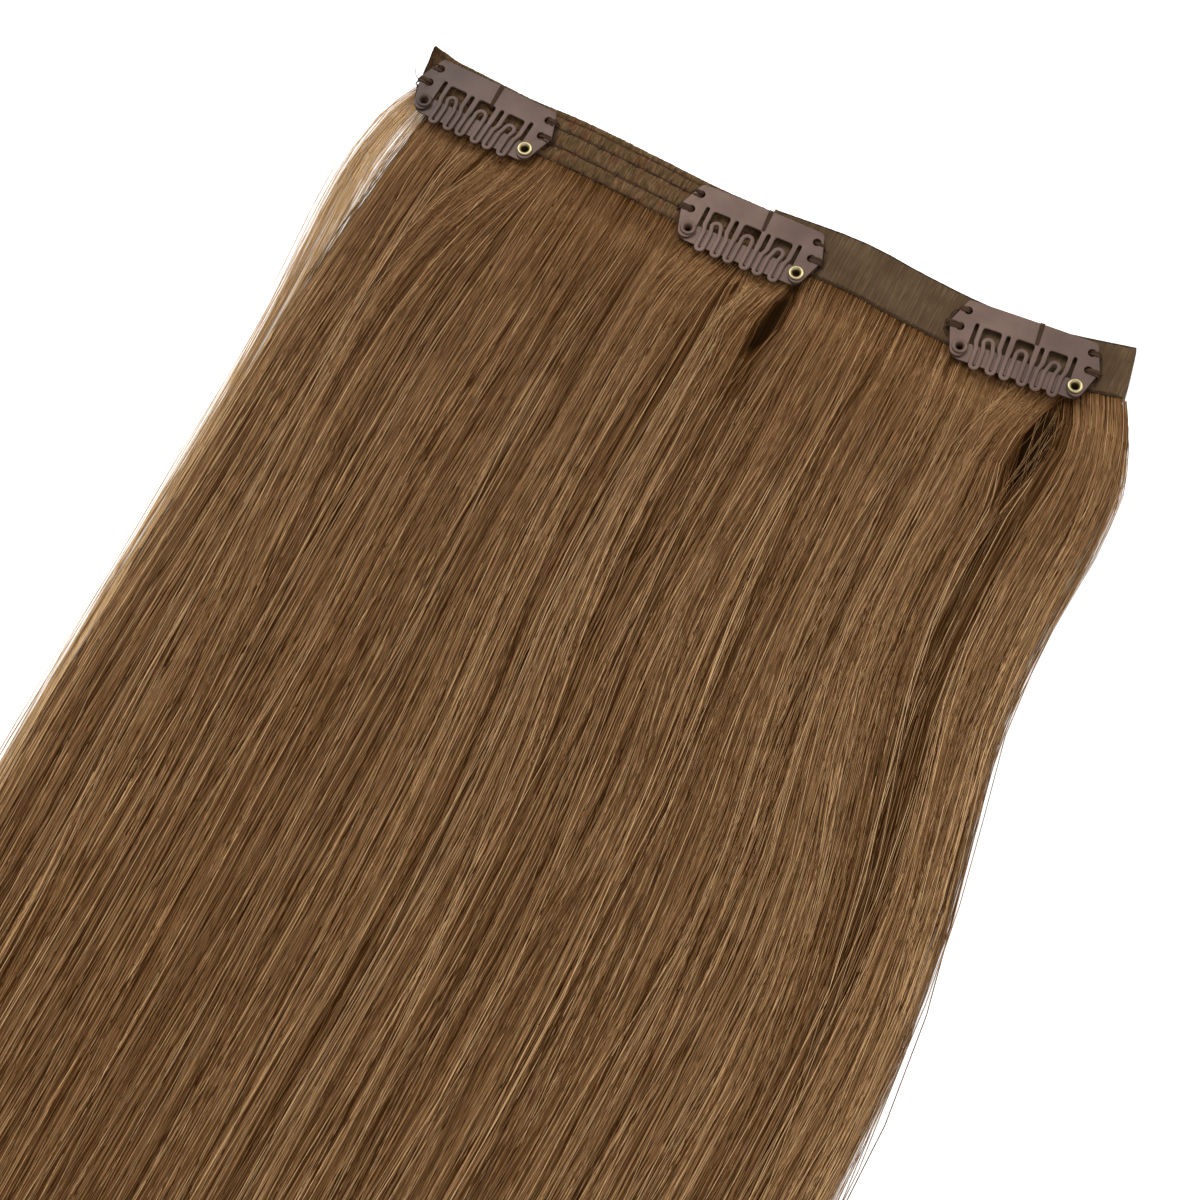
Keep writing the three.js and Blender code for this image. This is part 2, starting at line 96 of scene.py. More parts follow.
# Thin tufts along the left edge: where they start and end, how many, the least and most hairs of each, and
# how far their hairs wave apart.
LEFT_TUFTS = table(
    "from to count hairs curl",
    (0.0, 0.9, 3, (2, 4), 0.1),
    (1.0, 3.5, 12, (6, 10), 0.1),
    (3.3, 7.2, 13, (2, 5), 0.3),
)
# How far the outermost tuft stands out, and how far in from the edge tufts stand out.
TUFTS_OUT, TUFTS_WITHIN = 2.9, 7.5
# Where the hairs that cross the right parting start, and the side of it on which they all slant to the left.
CROSSING_ROOTS, CROSSING_SIDE = (69.5, 76.5), 73.0
# Where strands start below the band's line, how far down the clips lie over them, and their top there.
ROOT_START = 5.4
UNDER_CLIPS = 17.0
TOP_UNDER_CLIPS = 3.1
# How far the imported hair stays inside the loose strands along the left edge, near the band and low down, and
# along the right one.
LEFT_INSET, LOW_LEFT_INSET = 6.2, 1.6
RIGHT_INSET = 1.2

# Locks that sweep sideways below the band. Their roots lie from "x_from" and in full from "x_full" to "x_to",
# whose border is "border" wide. The drift grows from "start" to "end" down the fall.
SWEEPS = table(
    "x_from x_full x_to border drift start end",
    (-66, -54, -45, 3.0, -11, 8, 60),
    (-18, -8, 0.8, 0.6, -5, 6, 30),
    (3, 8, 13, 0.5, -8, 6, 32),
    (57, 66, 73, 0.5, -11, 6, 32),
)
# Partings and furrows between locks: middle, half sizes, x gained for each millimetre up, and how dark
# their painted shade is.
PARTINGS = table(
    "x y width length lean dark",
    (71.2, -19.0, 3.3, 14.0, 0.135, 1.0),
    (11.8, -17.5, 1.7, 11.5, 0.15, 1.0),
    (1.0, -15.5, 0.8, 5.5, 0.4, 0.7),
    (71.0, -50.0, 0.7, 28.0, 0.0, 0.5),
    (-60.5, -14.0, 0.8, 9.0, 0.25, 0.5),
)

# Band: half height, and its stitched rows: distance from its middle line, radius, and share with a knot.
HALF_BAND = 6.0
STITCH_ROWS = table(
    "at radius knots",
    (4.5, 0.1, 0.25),
    (1.75, 0.15, 0.7),
    (-2.35, 0.17, 0.8),
    (-5.7, 0.16, 1.0),
)
STITCH_LENGTH = 2.9
STITCH_RADIUS = 0.15

# Snap clip: the line where the sheet flexes, where its visual halves meet, where the bend and the slots
# beside the comb end, its rounded edges and the cut of its corners.
FLEX_LINE = 6.5
SEAM_LINE = 7.3
FLEX_END = 5.5
SLOT_TOP = 5.97
PLATE_EDGE = 0.12
COMB_EDGE = 0.17
PLATE_CORNER = 0.3
COMB_CORNER = 0.22
THREAD_RADIUS = 0.16
THREADS_IN_HOLE = 7
LOOSE_THREADS = 4
# Where each clip's middle thread crosses its plate, and the ends with loose thread beside them.
MIDDLE_THREADS = {"left": 0.6, "middle": 1.8, "right": 1.9}
LOOSE_SIDES = {"left": (1,), "middle": (1,), "right": (-1, 1)}
# How light the paint is at places along the band, as painted sheen and shade: each clip is lighter
# towards its left end, but for the first, whose left end is painted darker.
PAINTED_SHEEN_AND_SHADE = (
    (-79, 176), (-70, 194), (-60, 222), (-47, 216),
    (-15, 252), (-2, 246), (15, 214),
    (44, 252), (60, 238), (77, 204),
)
PAINT_RANGE = PAINTED_SHEEN_AND_SHADE[-1][0] - PAINTED_SHEEN_AND_SHADE[0][0]

# Display white, and the warm tints of the sheen of cloth and hair.
WHITE = (255, 255, 255)
CLOTH_TINT = (1.0, 0.84, 0.66, 1.0)
HAIR_TINT = (1.0, 0.82, 0.6, 1.0)

nodes = frame["nodes"]
record = frame["record"]
bpy.context.view_layer.update()
rng = np.random.default_rng(SEED)


# Colours and materials


def linear(red, green, blue):
    """Scene colour of an 8-bit display colour."""
    channels = [c / 255 for c in (red, green, blue)]
    return [c / 12.92 if c <= 0.04045 else ((c + 0.055) / 1.055) ** 2.4 for c in channels] + [1.0]


def new_material(name, colour, roughness, **sockets):
    """Principled material. sockets are further inputs, with underscores for spaces."""
    material = bpy.data.materials.new(name)
    material.use_nodes = True
    shader = material.node_tree.nodes["Principled BSDF"]
    shader.inputs["Base Color"].default_value = linear(*colour)
    shader.inputs["Roughness"].default_value = roughness
    for key, value in sockets.items():
        shader.inputs[key.replace("_", " ")].default_value = value
    return material


class Nodes:
    """Short calls that add and link shader nodes of one material."""

    def __init__(self, material):
        self.tree = material.node_tree
        self.shader = self.tree.nodes["Principled BSDF"]

    def add(self, kind, inputs=None, **settings):
        node = self.tree.nodes.new(kind)
        for key, value in settings.items():
            setattr(node, key, value)
        for key, value in (inputs or {}).items():
            if isinstance(value, bpy.types.NodeSocket):
                self.tree.links.new(value, node.inputs[key])
            else:
                node.inputs[key].default_value = value
        return node

    def noise(self, vector, scale, detail, roughness=0.5, distortion=0.0):
        inputs = {"Vector": vector, "Scale": scale, "Detail": detail, "Roughness": roughness}
        return self.add("ShaderNodeTexNoise", {**inputs, "Distortion": distortion}).outputs["Fac"]

    def streaks(self, flow, across, along, *settings):
        """Noise with a scale for each direction of the flow."""
        inputs = {"Vector": flow, "Scale": (across, along, 1)}
        return self.noise(self.add("ShaderNodeMapping", inputs).outputs["Vector"], 1.0, *settings)

    def ramp(self, factor, stops):
        """Colour ramp through stops of (place, display colour)."""
        node = self.add("ShaderNodeValToRGB", {"Fac": factor})
        elements = node.color_ramp.elements
        while len(elements) < len(stops):
            elements.new(0.5)
        for element, (place, colour) in zip(elements, stops):
            element.position = place
            element.color = linear(*colour)
        return node.outputs["Color"]

    def mix(self, factor, first, second, blend="MIX"):
        inputs = {0: factor, 6: first, 7: second}
        return self.add("ShaderNodeMix", inputs, data_type="RGBA", blend_type=blend).outputs[2]

    def times(self, first, second):
        """Product of two colours."""
        return self.mix(1.0, first, second, "MULTIPLY")

    def maths(self, operation, first, second):
        return self.add("ShaderNodeMath", {0: first, 1: second}, operation=operation).outputs[0]

    def flow(self):
        """The mesh's map of millimetres along the hair or the band."""
        return self.add("ShaderNodeUVMap", uv_map="flow").outputs["UV"]

    def axis(self, vector, name):
        return self.add("ShaderNodeSeparateXYZ", {0: vector}).outputs[name]

    def band_ramp(self, flow, grain, unevenness, stops):
        """Colours across the band, from its lower edge to its upper one, with uneven borders."""
        uneven = self.maths("MULTIPLY", self.maths("SUBTRACT", grain, 0.5), unevenness)
        up = self.maths("DIVIDE", self.maths("ADD", self.axis(flow, "Y"), uneven), 2 * HALF_BAND)
        return self.ramp(up, stops)

    def link(self, output, socket):
        self.tree.links.new(output, self.shader.inputs[socket])

    def bump(self, height, distance, strength):
        inputs = {"Height": height, "Distance": distance, "Strength": strength}
        self.link(self.add("ShaderNodeBump", inputs).outputs["Normal"], "Normal")


def hair_base_material():
    """Packed hair below the strands: long streaks along the flow, with painted shade in the partings
    between locks.
    """
    material = new_material("hair_base", (80, 56, 34), 0.7, Specular_IOR_Level=0.0)
    n = Nodes(material)
    flow = n.flow()
    fine = n.streaks(flow, 3.2, 0.012, 2.0)
    locks = n.streaks(flow, 0.35, 0.006, 3.0)
    stops = [(0.25, (58, 34, 12)), (0.48, (80, 53, 27)), (0.62, (98, 70, 42)), (0.8, (112, 84, 55))]
    shade = n.ramp(locks, [(0.3, (205, 195, 185)), (0.65, WHITE)])
    colour = n.times(n.ramp(fine, stops), shade)
    # Painted shade in each parting, darkest along its middle.
    for parting in PARTINGS:
        across, down = flow_at(parting["x"], parting["y"])
        inputs = {
            "Vector": flow,
            "Location": (across, down, 0),
            "Rotation": (0, 0, parting["lean"]),
            "Scale": (parting["width"] * 1.5, parting["length"] * 1.05, 1.0),
        }
        local = n.add("ShaderNodeMapping", inputs, vector_type="TEXTURE").outputs["Vector"]
        away = n.add("ShaderNodeVectorMath", {0: local}, operation="LENGTH").outputs["Value"]
        grey = 255 - 150 * parting["dark"]
        colour = n.times(colour, n.ramp(away, [(0.55, (grey, grey, grey)), (1.0, WHITE)]))
    n.link(colour, "Base Color")
    n.bump(fine, 0.0003, 0.8)
    return material


# Strands from dark to light: display colour and specular level.
STRAND_TONES = (
    ("hair_shade", (58, 32, 9), 0.04),
    ("hair_dark", (74, 45, 18), 0.08),
    ("hair_umber", (89, 59, 30), 0.12),
    ("hair_brown", (103, 72, 41), 0.15),
    ("hair_chestnut", (117, 84, 51), 0.18),
    ("hair_golden", (134, 100, 64), 0.2),
    ("hair_light", (154, 119, 80), 0.22),
    ("hair_pale", (184, 150, 109), 0.24),
    ("hair_blond", (212, 180, 135), 0.2),
)


def strand_materials():
    return [
        new_material(name, colour, 0.42, Specular_IOR_Level=level, Specular_Tint=HAIR_TINT)
        for name, colour, level in STRAND_TONES
    ]


def weft_material():
    """Machine weft: fine hair squeezed flat between the stitched rows, in brown and grey patches, with
    painted shade along the rows and at the edges, a light lip and a worn left corner."""
    sheen = {"Specular_IOR_Level": 0.06, "Specular_Tint": CLOTH_TINT}
    material = new_material("weft_fabric", (104, 88, 68), 0.8, **sheen)
    n = Nodes(material)
    flow = n.flow()
    fibres = n.streaks(flow, 2.9, 0.3, 4.0, 0.65, 0.4)
    patches = n.streaks(flow, 0.3, 0.24, 3.0, 0.6)
    grain = n.streaks(flow, 2.2, 1.8, 3.0, 0.7)
    colour = n.ramp(fibres, [(0.28, (54, 43, 31)), (0.5, (87, 72, 55)), (0.74, (124, 106, 83))])
    tint = n.ramp(patches, [(0.33, (214, 208, 178)), (0.52, (255, 240, 222)), (0.68, (244, 202, 184))])
    colour = n.times(colour, tint)
    # Painted shade along the stitched rows and at both edges, and a lighter lip just below the top edge.
    plain, dark, soft, lip = (238, 234, 230), (150, 132, 118), (196, 182, 170), (255, 252, 246)
    stops = [(0.0, dark), (0.05, plain), (0.275, plain), (0.304, dark), (0.335, plain), (0.615, plain)]
    stops += [(0.646, dark), (0.677, plain), (0.85, plain), (0.875, soft), (0.905, lip), (0.965, lip)]
    stops += [(0.99, (128, 114, 104))]
    colour = n.times(colour, n.band_ramp(flow, grain, 1.1, stops))
    corner = n.maths("DIVIDE", n.maths("ADD", n.axis(flow, "X"), 82.0), 6.0)
    n.link(n.times(colour, n.ramp(corner, [(0.35, (176, 164, 152)), (0.9, WHITE)])), "Base Color")
    n.bump(fibres, 0.0004, 0.9)
    return material


def tape_material():
    """Sealed tape: smooth, with the hair below it showing as faint lines across, a dark lower seam and
    painted shade along its top edge.
    """
    sheen = {"Specular_IOR_Level": 0.12, "Specular_Tint": CLOTH_TINT}
    material = new_material("tape_fabric", (100, 84, 68), 0.6, **sheen)
    n = Nodes(material)
    flow = n.flow()
    lines = n.streaks(flow, 2.4, 0.12, 4.0, 0.7)
    grain = n.streaks(flow, 1.6, 1.6, 4.0, 0.7)
    clouds = n.ramp(n.streaks(flow, 0.1, 0.16, 3.0), [(0.35, (222, 212, 200)), (0.65, WHITE)])
    colour = n.times(n.ramp(lines, [(0.3, (57, 43, 28)), (0.5, (70, 55, 38)), (0.75, (94, 76, 53))]), clouds)
    # A dark seam along the lower edge, and painted shade along the folded top edge.
    stops = [(0.0, (190, 170, 150)), (0.03, (140, 118, 104)), (0.07, WHITE), (0.96, WHITE)]
    stops += [(0.99, (120, 108, 100))]
    n.link(n.times(colour, n.band_ramp(flow, grain, 1.6, stops)), "Base Color")
    n.bump(n.mix(0.3, lines, grain), 0.00025, 0.6)
    return material


def paint_material():
    """Satin paint on the clips, with a light grain, soft clouds of painted reflection and each clip's
    painted sheen and shade.
    """
    material = new_material("clip_paint", (78, 60, 51), 0.42, Metallic=0.12, Specular_IOR_Level=0.18)
    n = Nodes(material)
    place = n.add("ShaderNodeTexCoord").outputs["Object"]
    grain = n.noise(place, 2600.0, 2.0)
    # Soft clouds of painted reflection.
    reflection_clouds = n.noise(place, 160.0, 2.0)
    colour = n.ramp(reflection_clouds, [(0.35, (84, 66, 58)), (0.7, (97, 78, 70))])
    # Painted sheen and shade along the band, from the table above.
    start = PAINTED_SHEEN_AND_SHADE[0][0]
    share = n.maths("DIVIDE", n.maths("ADD", n.axis(place, "X"), start * -MM), PAINT_RANGE * MM)
    stops = [((x - start) / PAINT_RANGE, (light, light * 0.98, light * 0.96)) for x, light in PAINTED_SHEEN_AND_SHADE]
    n.link(n.times(colour, n.ramp(share, stops)), "Base Color")
    n.bump(grain, 0.00002, 0.35)
    return material


# The CAD's forms, read as heights and walls


def tree_of(*names):
    """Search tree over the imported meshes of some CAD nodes."""
    points, faces = [], []
    for name in names:
        node = nodes[name]
        start = len(points)
        points += [node.matrix_world @ vertex.co for vertex in node.data.vertices]
        faces += [[start + i for i in face.vertices] for face in node.data.polygons]
    return BVHTree.FromPolygons(points, faces)


def wall(tree, start, direction):
    """Where a ray first meets a form, or None."""
    return tree.ray_cast(Vector(start), Vector(direction))[0]


class Heights:
    def __init__(self, tree, low, high, step):
        self.low, self.step = np.array(low), np.array(step)
        self.size = np.ceil((np.array(high) - self.low) / self.step).astype(int) + 1
        self.values = np.zeros(self.size)
        for i in range(self.size[0]):
            for j in range(self.size[1]):
                x, y = self.low + self.step * (i, j)
                hit = wall(tree, (x, y, 1.0), (0, 0, -1))
                self.values[i, j] = hit.z if hit else 0.0

    def at(self, x, y):
        """Top at many points, between the grid's places."""
        place = np.clip((np.stack([x, y], -1) - self.low) / self.step, 0, self.size - 1.001)
        cell = place.astype(int)
        i, j = np.moveaxis(cell, -1, 0)
        fx, fy = np.moveaxis(place - cell, -1, 0)
        v = self.values
        near = v[i, j] * (1 - fx) + v[i + 1, j] * fx
        far = v[i, j + 1] * (1 - fx) + v[i + 1, j + 1] * fx
        return near * (1 - fy) + far * fy


def rough(x, y, z):
    """Smooth noise at a place, from about -1 to 1."""
    return noise.noise(Vector((x, y, z)))


def smoothstep(low, high, x):
    t = np.clip((x - low) / (high - low), 0, 1)
    return t * t * (3 - 2 * t)


hair_tree = tree_of("hair")
band_tree = tree_of("weft_band", "cover_tape")
hair_low, hair_high = (np.array(corner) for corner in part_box("hair"))
band_low, band_high = (np.array(corner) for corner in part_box("weft_band"))
hair_top = Heights(hair_tree, hair_low[:2], hair_high[:2], (0.5 * MM, 1.0 * MM))

# Lower and upper edge of the band at places along it, read 1.3 mm up.
edge_x = np.linspace(band_low[0] + 0.05 * MM, band_high[0] - 0.05 * MM, 500)
edge_low = np.array([wall(band_tree, (x, -0.1, 1.3 * MM), (0, 1, 0)).y for x in edge_x])
edge_high = np.array([wall(band_tree, (x, 0.1, 1.3 * MM), (0, -1, 0)).y for x in edge_x])

# Left and right wall of the hair at places down it, down to where its tips begin, and the tips.
wall_y = np.linspace(WALLS_END * MM, 0.0, 125)
wall_left = np.array([wall(hair_tree, (-0.2, y, 0.3 * MM), (1, 0, 0)).x for y in wall_y])
wall_right = np.array([wall(hair_tree, (0.2, y, 0.3 * MM), (-1, 0, 0)).x for y in wall_y])
tip_x = np.linspace(wall_left[0] + 0.5 * MM, wall_right[0] - 0.5 * MM, 200)
tip_y = np.array([wall(hair_tree, (x, -0.6, 0.2 * MM), (0, 1, 0)).y for x in tip_x])
blur = np.full(2 * TIP_BLUR + 1, 1 / (2 * TIP_BLUR + 1))
soft_tip_y = np.convolve(np.pad(tip_y, TIP_BLUR, "edge"), blur, "valid")

# The weft's edges run smoothly into the tape's.
tape_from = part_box("cover_tape")[0][0]
clear = np.abs(edge_x - tape_from) > 4 * MM
edge_low, edge_high = (np.interp(edge_x, edge_x[clear], edge[clear]) for edge in (edge_low, edge_high))


def band_line(x):
    """Place of the band's middle line along y, read 3 mm inside its slanted ends."""
    inside = np.clip(x, band_low[0] + 3 * MM, band_high[0] - 3 * MM)
    return np.interp(inside, edge_x, edge_low) + HALF_BAND * MM


def hair_place(across, down):
    """Point of the flow: across from 0 to 1, and the distance below the band's line in metres. Near the band
    the outline's bulges move only the hair close to it, and lower down they move more of the fall."""
    on_line = 1 - smoothstep(12 * MM, 80 * MM, down)
    left_y, right_y = (band_line(end[0]) * on_line - down for end in (band_low, band_high))
    left = np.interp(left_y, wall_y, wall_left) - wall_left[-1]
    right = np.interp(right_y, wall_y, wall_right) - wall_right[-1]
    spread = 7 - 5 * smoothstep(30 * MM, 130 * MM, down)
    inner = np.clip(across, 0, 1)
    x = wall_left[-1] + (wall_right[-1] - wall_left[-1]) * across
    x = x + left * (1 - inner) ** spread + right * inner**spread
    return x, band_line(x) * on_line - down


def flow_at(x, y):
    """Flow place, in its millimetres across and down, of a point given in millimetres."""
    down = -y
    for _ in range(6):
        down = band_line(x * MM) / MM * (1 - smoothstep(12, 80, down)) - y
    across = np.linspace(0, 1, 400)
    places, _ = hair_place(across, down * MM)
    return float(np.interp(x * MM, places, across) * FALL_WIDTH), float(down)


def drawn_in(place, down):
    """How far hair is drawn in from the left edge near the band, in millimetres."""
    start = LOW_LEFT_INSET + (LEFT_INSET - LOW_LEFT_INSET) * (1 - smoothstep(22, 75, down))
    return start * np.exp(-place / 16)


def hair_reach(across, places):
    """Distance below the band's line at which the hair ends, from the tips' places along y."""
    left, right = wall_left[0], wall_right[0]
    return -np.interp(left + (right - left) * across, tip_x, places)


# Mesh building


def new_object(name, data, materials=()):
    piece = bpy.data.objects.new(name, data)
    bpy.context.scene.collection.objects.link(piece)
    for material in materials:
        data.materials.append(material)
    return piece


def dressed(piece):
    """Piece riding on the root."""
    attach(piece, "root")
    return piece


def hairs(name, paths, radii, tones, materials):
    """Piece of thin closed tubes that end in thin tips. paths holds a row of points for each, radii its
    radius in millimetres, and tones a row of material indices for the lengths between its points."""
    count, points = paths.shape[:2]
    t = np.linspace(0, 1, points)
    widths = radii[:, None] * MM * (1 - 0.8 * smoothstep(0.91, 1.0, t)) * (0.7 + 0.3 * smoothstep(0, 0.05, t))
    along = np.gradient(paths, axis=1)
    along /= np.linalg.norm(along, axis=2, keepdims=True)
    side = np.cross(along, (0, 0, 1.0))
    side /= np.linalg.norm(side, axis=2, keepdims=True)
    up = np.cross(side, along)
    turn = math.pi / 2 + math.tau * np.arange(STRAND_SIDES) / STRAND_SIDES
    ring = np.cos(turn)[:, None] * side[:, :, None] + np.sin(turn)[:, None] * up[:, :, None]
    vertices = paths[:, :, None] + widths[:, :, None, None] * ring
    index = np.arange(count * points * STRAND_SIDES).reshape(count, points, STRAND_SIDES)
    here, there = index[:, :-1], index[:, 1:]
    quads = np.stack([here, there, np.roll(there, -1, 2), np.roll(here, -1, 2)], -1).reshape(-1, 4)
    mesh = bpy.data.meshes.new(name)
    mesh.from_pydata(vertices.reshape(-1, 3).tolist(), [], quads.tolist())
    tones = np.broadcast_to(tones, (count, points - 1))
    mesh.polygons.foreach_set("material_index", np.repeat(tones.ravel(), STRAND_SIDES).astype(np.int32))
    mesh.polygons.foreach_set("use_smooth", np.ones(len(quads), bool))
    sealed(mesh)
    dressed(new_object(name, mesh, materials))


def smoothed(mesh, sharp):
    """Shades a mesh smooth but for its edges over an angle in degrees."""
    mesh.polygons.foreach_set("use_smooth", np.ones(len(mesh.polygons), bool))
    mesh.set_sharp_from_angle(angle=math.radians(sharp))


def sealed(mesh):
    """Fills a mesh's open ends and turns its faces outwards."""
    work = bmesh.new()
    work.from_mesh(mesh)
    bmesh.ops.holes_fill(work, edges=[edge for edge in work.edges if edge.is_boundary], sides=0)
    bmesh.ops.recalc_face_normals(work, faces=work.faces)
    work.to_mesh(mesh)
    work.free()


def relief(name, top, flow, floor, material):
    """Closed slab under a grid of top points, with a flow map of millimetres along both grid directions. Its
    floor is made of strips from side to side, one for each step between its rows."""
    rows, columns = top.shape[:2]
    grid = np.arange(rows * columns).reshape(rows, columns)
    faces = np.stack([grid[:-1, :-1], grid[1:, :-1], grid[1:, 1:], grid[:-1, 1:]], -1).reshape(-1, 4).tolist()
    rim = np.concatenate([grid[0], grid[1:, -1], grid[-1, -2::-1], grid[-2:0:-1, 0]])
    base = list(range(grid.size, grid.size + len(rim)))
    faces += np.stack([rim, np.roll(rim, -1), np.roll(base, -1), base], -1).tolist()
    faces.append([*base[: columns + 1], base[-1]])
    faces.append([base[2 - rows], *base[columns + rows - 3 : len(rim) - rows + 2]])
    faces += [[base[-r], base[columns + r - 1], base[columns + r], base[-r - 1]] for r in range(1, rows - 2)]
    points = top.reshape(-1, 3)
    ground = points[rim] * (1, 1, 0) + (0, 0, floor)
    mesh = bpy.data.meshes.new(name)
    mesh.from_pydata([*points.tolist(), *ground.tolist()], [], faces)
    corners = np.zeros(len(mesh.loops), np.int32)
    mesh.loops.foreach_get("vertex_index", corners)
    places = flow.reshape(-1, 2)
    layer = mesh.uv_layers.new(name="flow")
    layer.uv.foreach_set("vector", np.concatenate([places, places[rim]])[corners].ravel())
    sealed(mesh)
    smoothed(mesh, 55)
    return new_object(name, mesh, [material])


def threads(name, runs, radius, material):
    """Piece of round threads. Each run is a list of points and that thread's share of the radius."""
    curve = bpy.data.curves.new(name, "CURVE")
    curve.dimensions = "3D"
    curve.bevel_depth = radius
    curve.bevel_resolution = 1
    curve.use_fill_caps = True
    for points, scale in runs:
        spline = curve.splines.new("NURBS")
        spline.points.add(len(points) - 1)
        for point, place in zip(spline.points, points):
            point.co = (*place, 1.0)
            point.radius = scale
        spline.use_endpoint_u = True
        spline.order_u = 3
        spline.resolution_u = 3
    dressed(new_object(name, curve, [material]))


# Hair


def hair_base():
    """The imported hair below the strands, on the CAD's form with furrows between its locks."""
    columns, rows = 230, 84
    across = np.linspace(0, 1, columns)
    share = np.linspace(0, 1, rows) ** 1.35
    start = (HALF_BAND - 0.3) * MM
    ragged = np.array([rough(a * FALL_WIDTH / 1.6, 2.0, 5.0) for a in across])
    reach = hair_reach(across, 0.25 * tip_y + 0.75 * soft_tip_y) + RAGGED_END * ragged * MM
    top = np.zeros((rows, columns, 3))
    flow = np.zeros((rows, columns, 2))
    for r, t in enumerate(share):
        down = start + (reach * BASE_REACH - start) * t
        place = (1 - RIGHT_INSET / FALL_WIDTH) * across
        place = place + drawn_in(place * FALL_WIDTH, down / MM) / FALL_WIDTH
        x, y = hair_place(place, down)
        z = np.maximum(hair_top.at(x, y), 0.9 * MM)
        width = place * FALL_WIDTH
        furrow = np.array([rough(w / 2.6, d * 11, 3.0) for w, d in zip(width, down)])
        fine = np.array([rough(w / 1.1, d * 14, 8.0) for w, d in zip(width, down)])
        depth = 0.25 + 0.75 * smoothstep(10 * MM, 40 * MM, down)
        z = z + (0.42 * furrow + 0.2 * fine - 0.35) * MM * depth
        edge = smoothstep(0, 0.022, across) * smoothstep(0, 0.014, 1 - across)
        z = z * (0.25 + 0.75 * edge) * (1 - 0.65 * smoothstep(0.93, 1.0, t))
        top[r] = np.stack([x, y, np.maximum(z, 0.35 * MM)], -1)
        flow[r] = np.stack([width, down / MM], -1)
    return relief("hair_base", top, flow, 0.0, hair_base_material())


def lock_layer(index):
    """Locks of one layer of strands: their borders, and how each one drifts, gathers, lies and is toned."""
    layer = np.random.default_rng(SEED + 31 * index)
    edges = [0.0]
    while edges[-1] < FALL_WIDTH:
        edges.append(edges[-1] + layer.uniform(*LOCK_WIDTH))
    count = len(edges) - 1
    return {
        "edges": np.array(edges),
        "drift": layer.uniform(0.3, 1.2, count) * layer.choice([-1, 1], count),
        "length": layer.uniform(90, 200, count),
        "phase": layer.uniform(0, math.tau, count),
        "gather": layer.uniform(0.0, 0.22, count),
        "lift": layer.uniform(-0.12, 0.16, count),
        "shade": layer.normal(0, 0.25, count),
        "tufts": layer.normal(0, 0.4, int(FALL_WIDTH / TUFT_WIDTH) + 2),
    }


def sweep_share(sweep, root_x):
    """How far strands with their roots at some places belong to a sweeping lock, from 0 to 1."""
    border = sweep["border"] / 2
    ending = 1 - smoothstep(sweep["x_to"] - border, sweep["x_to"] + border, root_x)
    return smoothstep(sweep["x_from"], sweep["x_full"], root_x) * ending


def swept(root_x, down):
    """Sideways drift of the locks that sweep below the band, in millimetres."""
    total = np.zeros(down.shape)
    for sweep in SWEEPS:
        grown = np.clip((down - sweep["start"]) / (sweep["end"] - sweep["start"]), 0, 1)
        total += sweep["drift"] * sweep_share(sweep, root_x)[:, None] * (1 - (1 - grown) ** 2)
    return total * (1 - 0.6 * smoothstep(60, 170, down))


def beside_parting(parting, x, y):
    """Distance of points from a parting's middle line, and their place along it from -1 to 1."""
    along = (y - parting["y"]) / parting["length"]
    return x - parting["x"] - parting["lean"] * (y - parting["y"]), along


def parted(x, y):
    """Sideways shift that opens the partings, in millimetres. Each strand stays on its side of a parting."""
    total = np.zeros(x.shape)
    rows = np.arange(len(x))
    for parting in PARTINGS:
        apart, along = beside_parting(parting, x, y)
        side = np.where(apart[rows, np.abs(along).argmin(1)] < 0, -1, 1)[:, None]
        opening = parting["width"] * np.clip(1 - along**2, 0, 1)
        total += side * opening * np.exp(-np.abs(apart) / 5.0)
    return total


def shadowed(x, y):
    """How deep points lie in the shade of the partings, from 0 to 1."""
    total = np.zeros(x.shape)
    for parting in PARTINGS:
        apart, along = beside_parting(parting, x, y)
        away = (apart / (1.25 * parting["width"])) ** 2 + along**2
        total = np.maximum(total, parting["dark"] * np.sqrt(np.clip(1 - away, 0, 1)))
    return total


def under_clips(z, down):
    """Heights, kept below the clips near the band."""
    return np.where(down < UNDER_CLIPS, np.minimum(z, TOP_UNDER_CLIPS * MM), z)


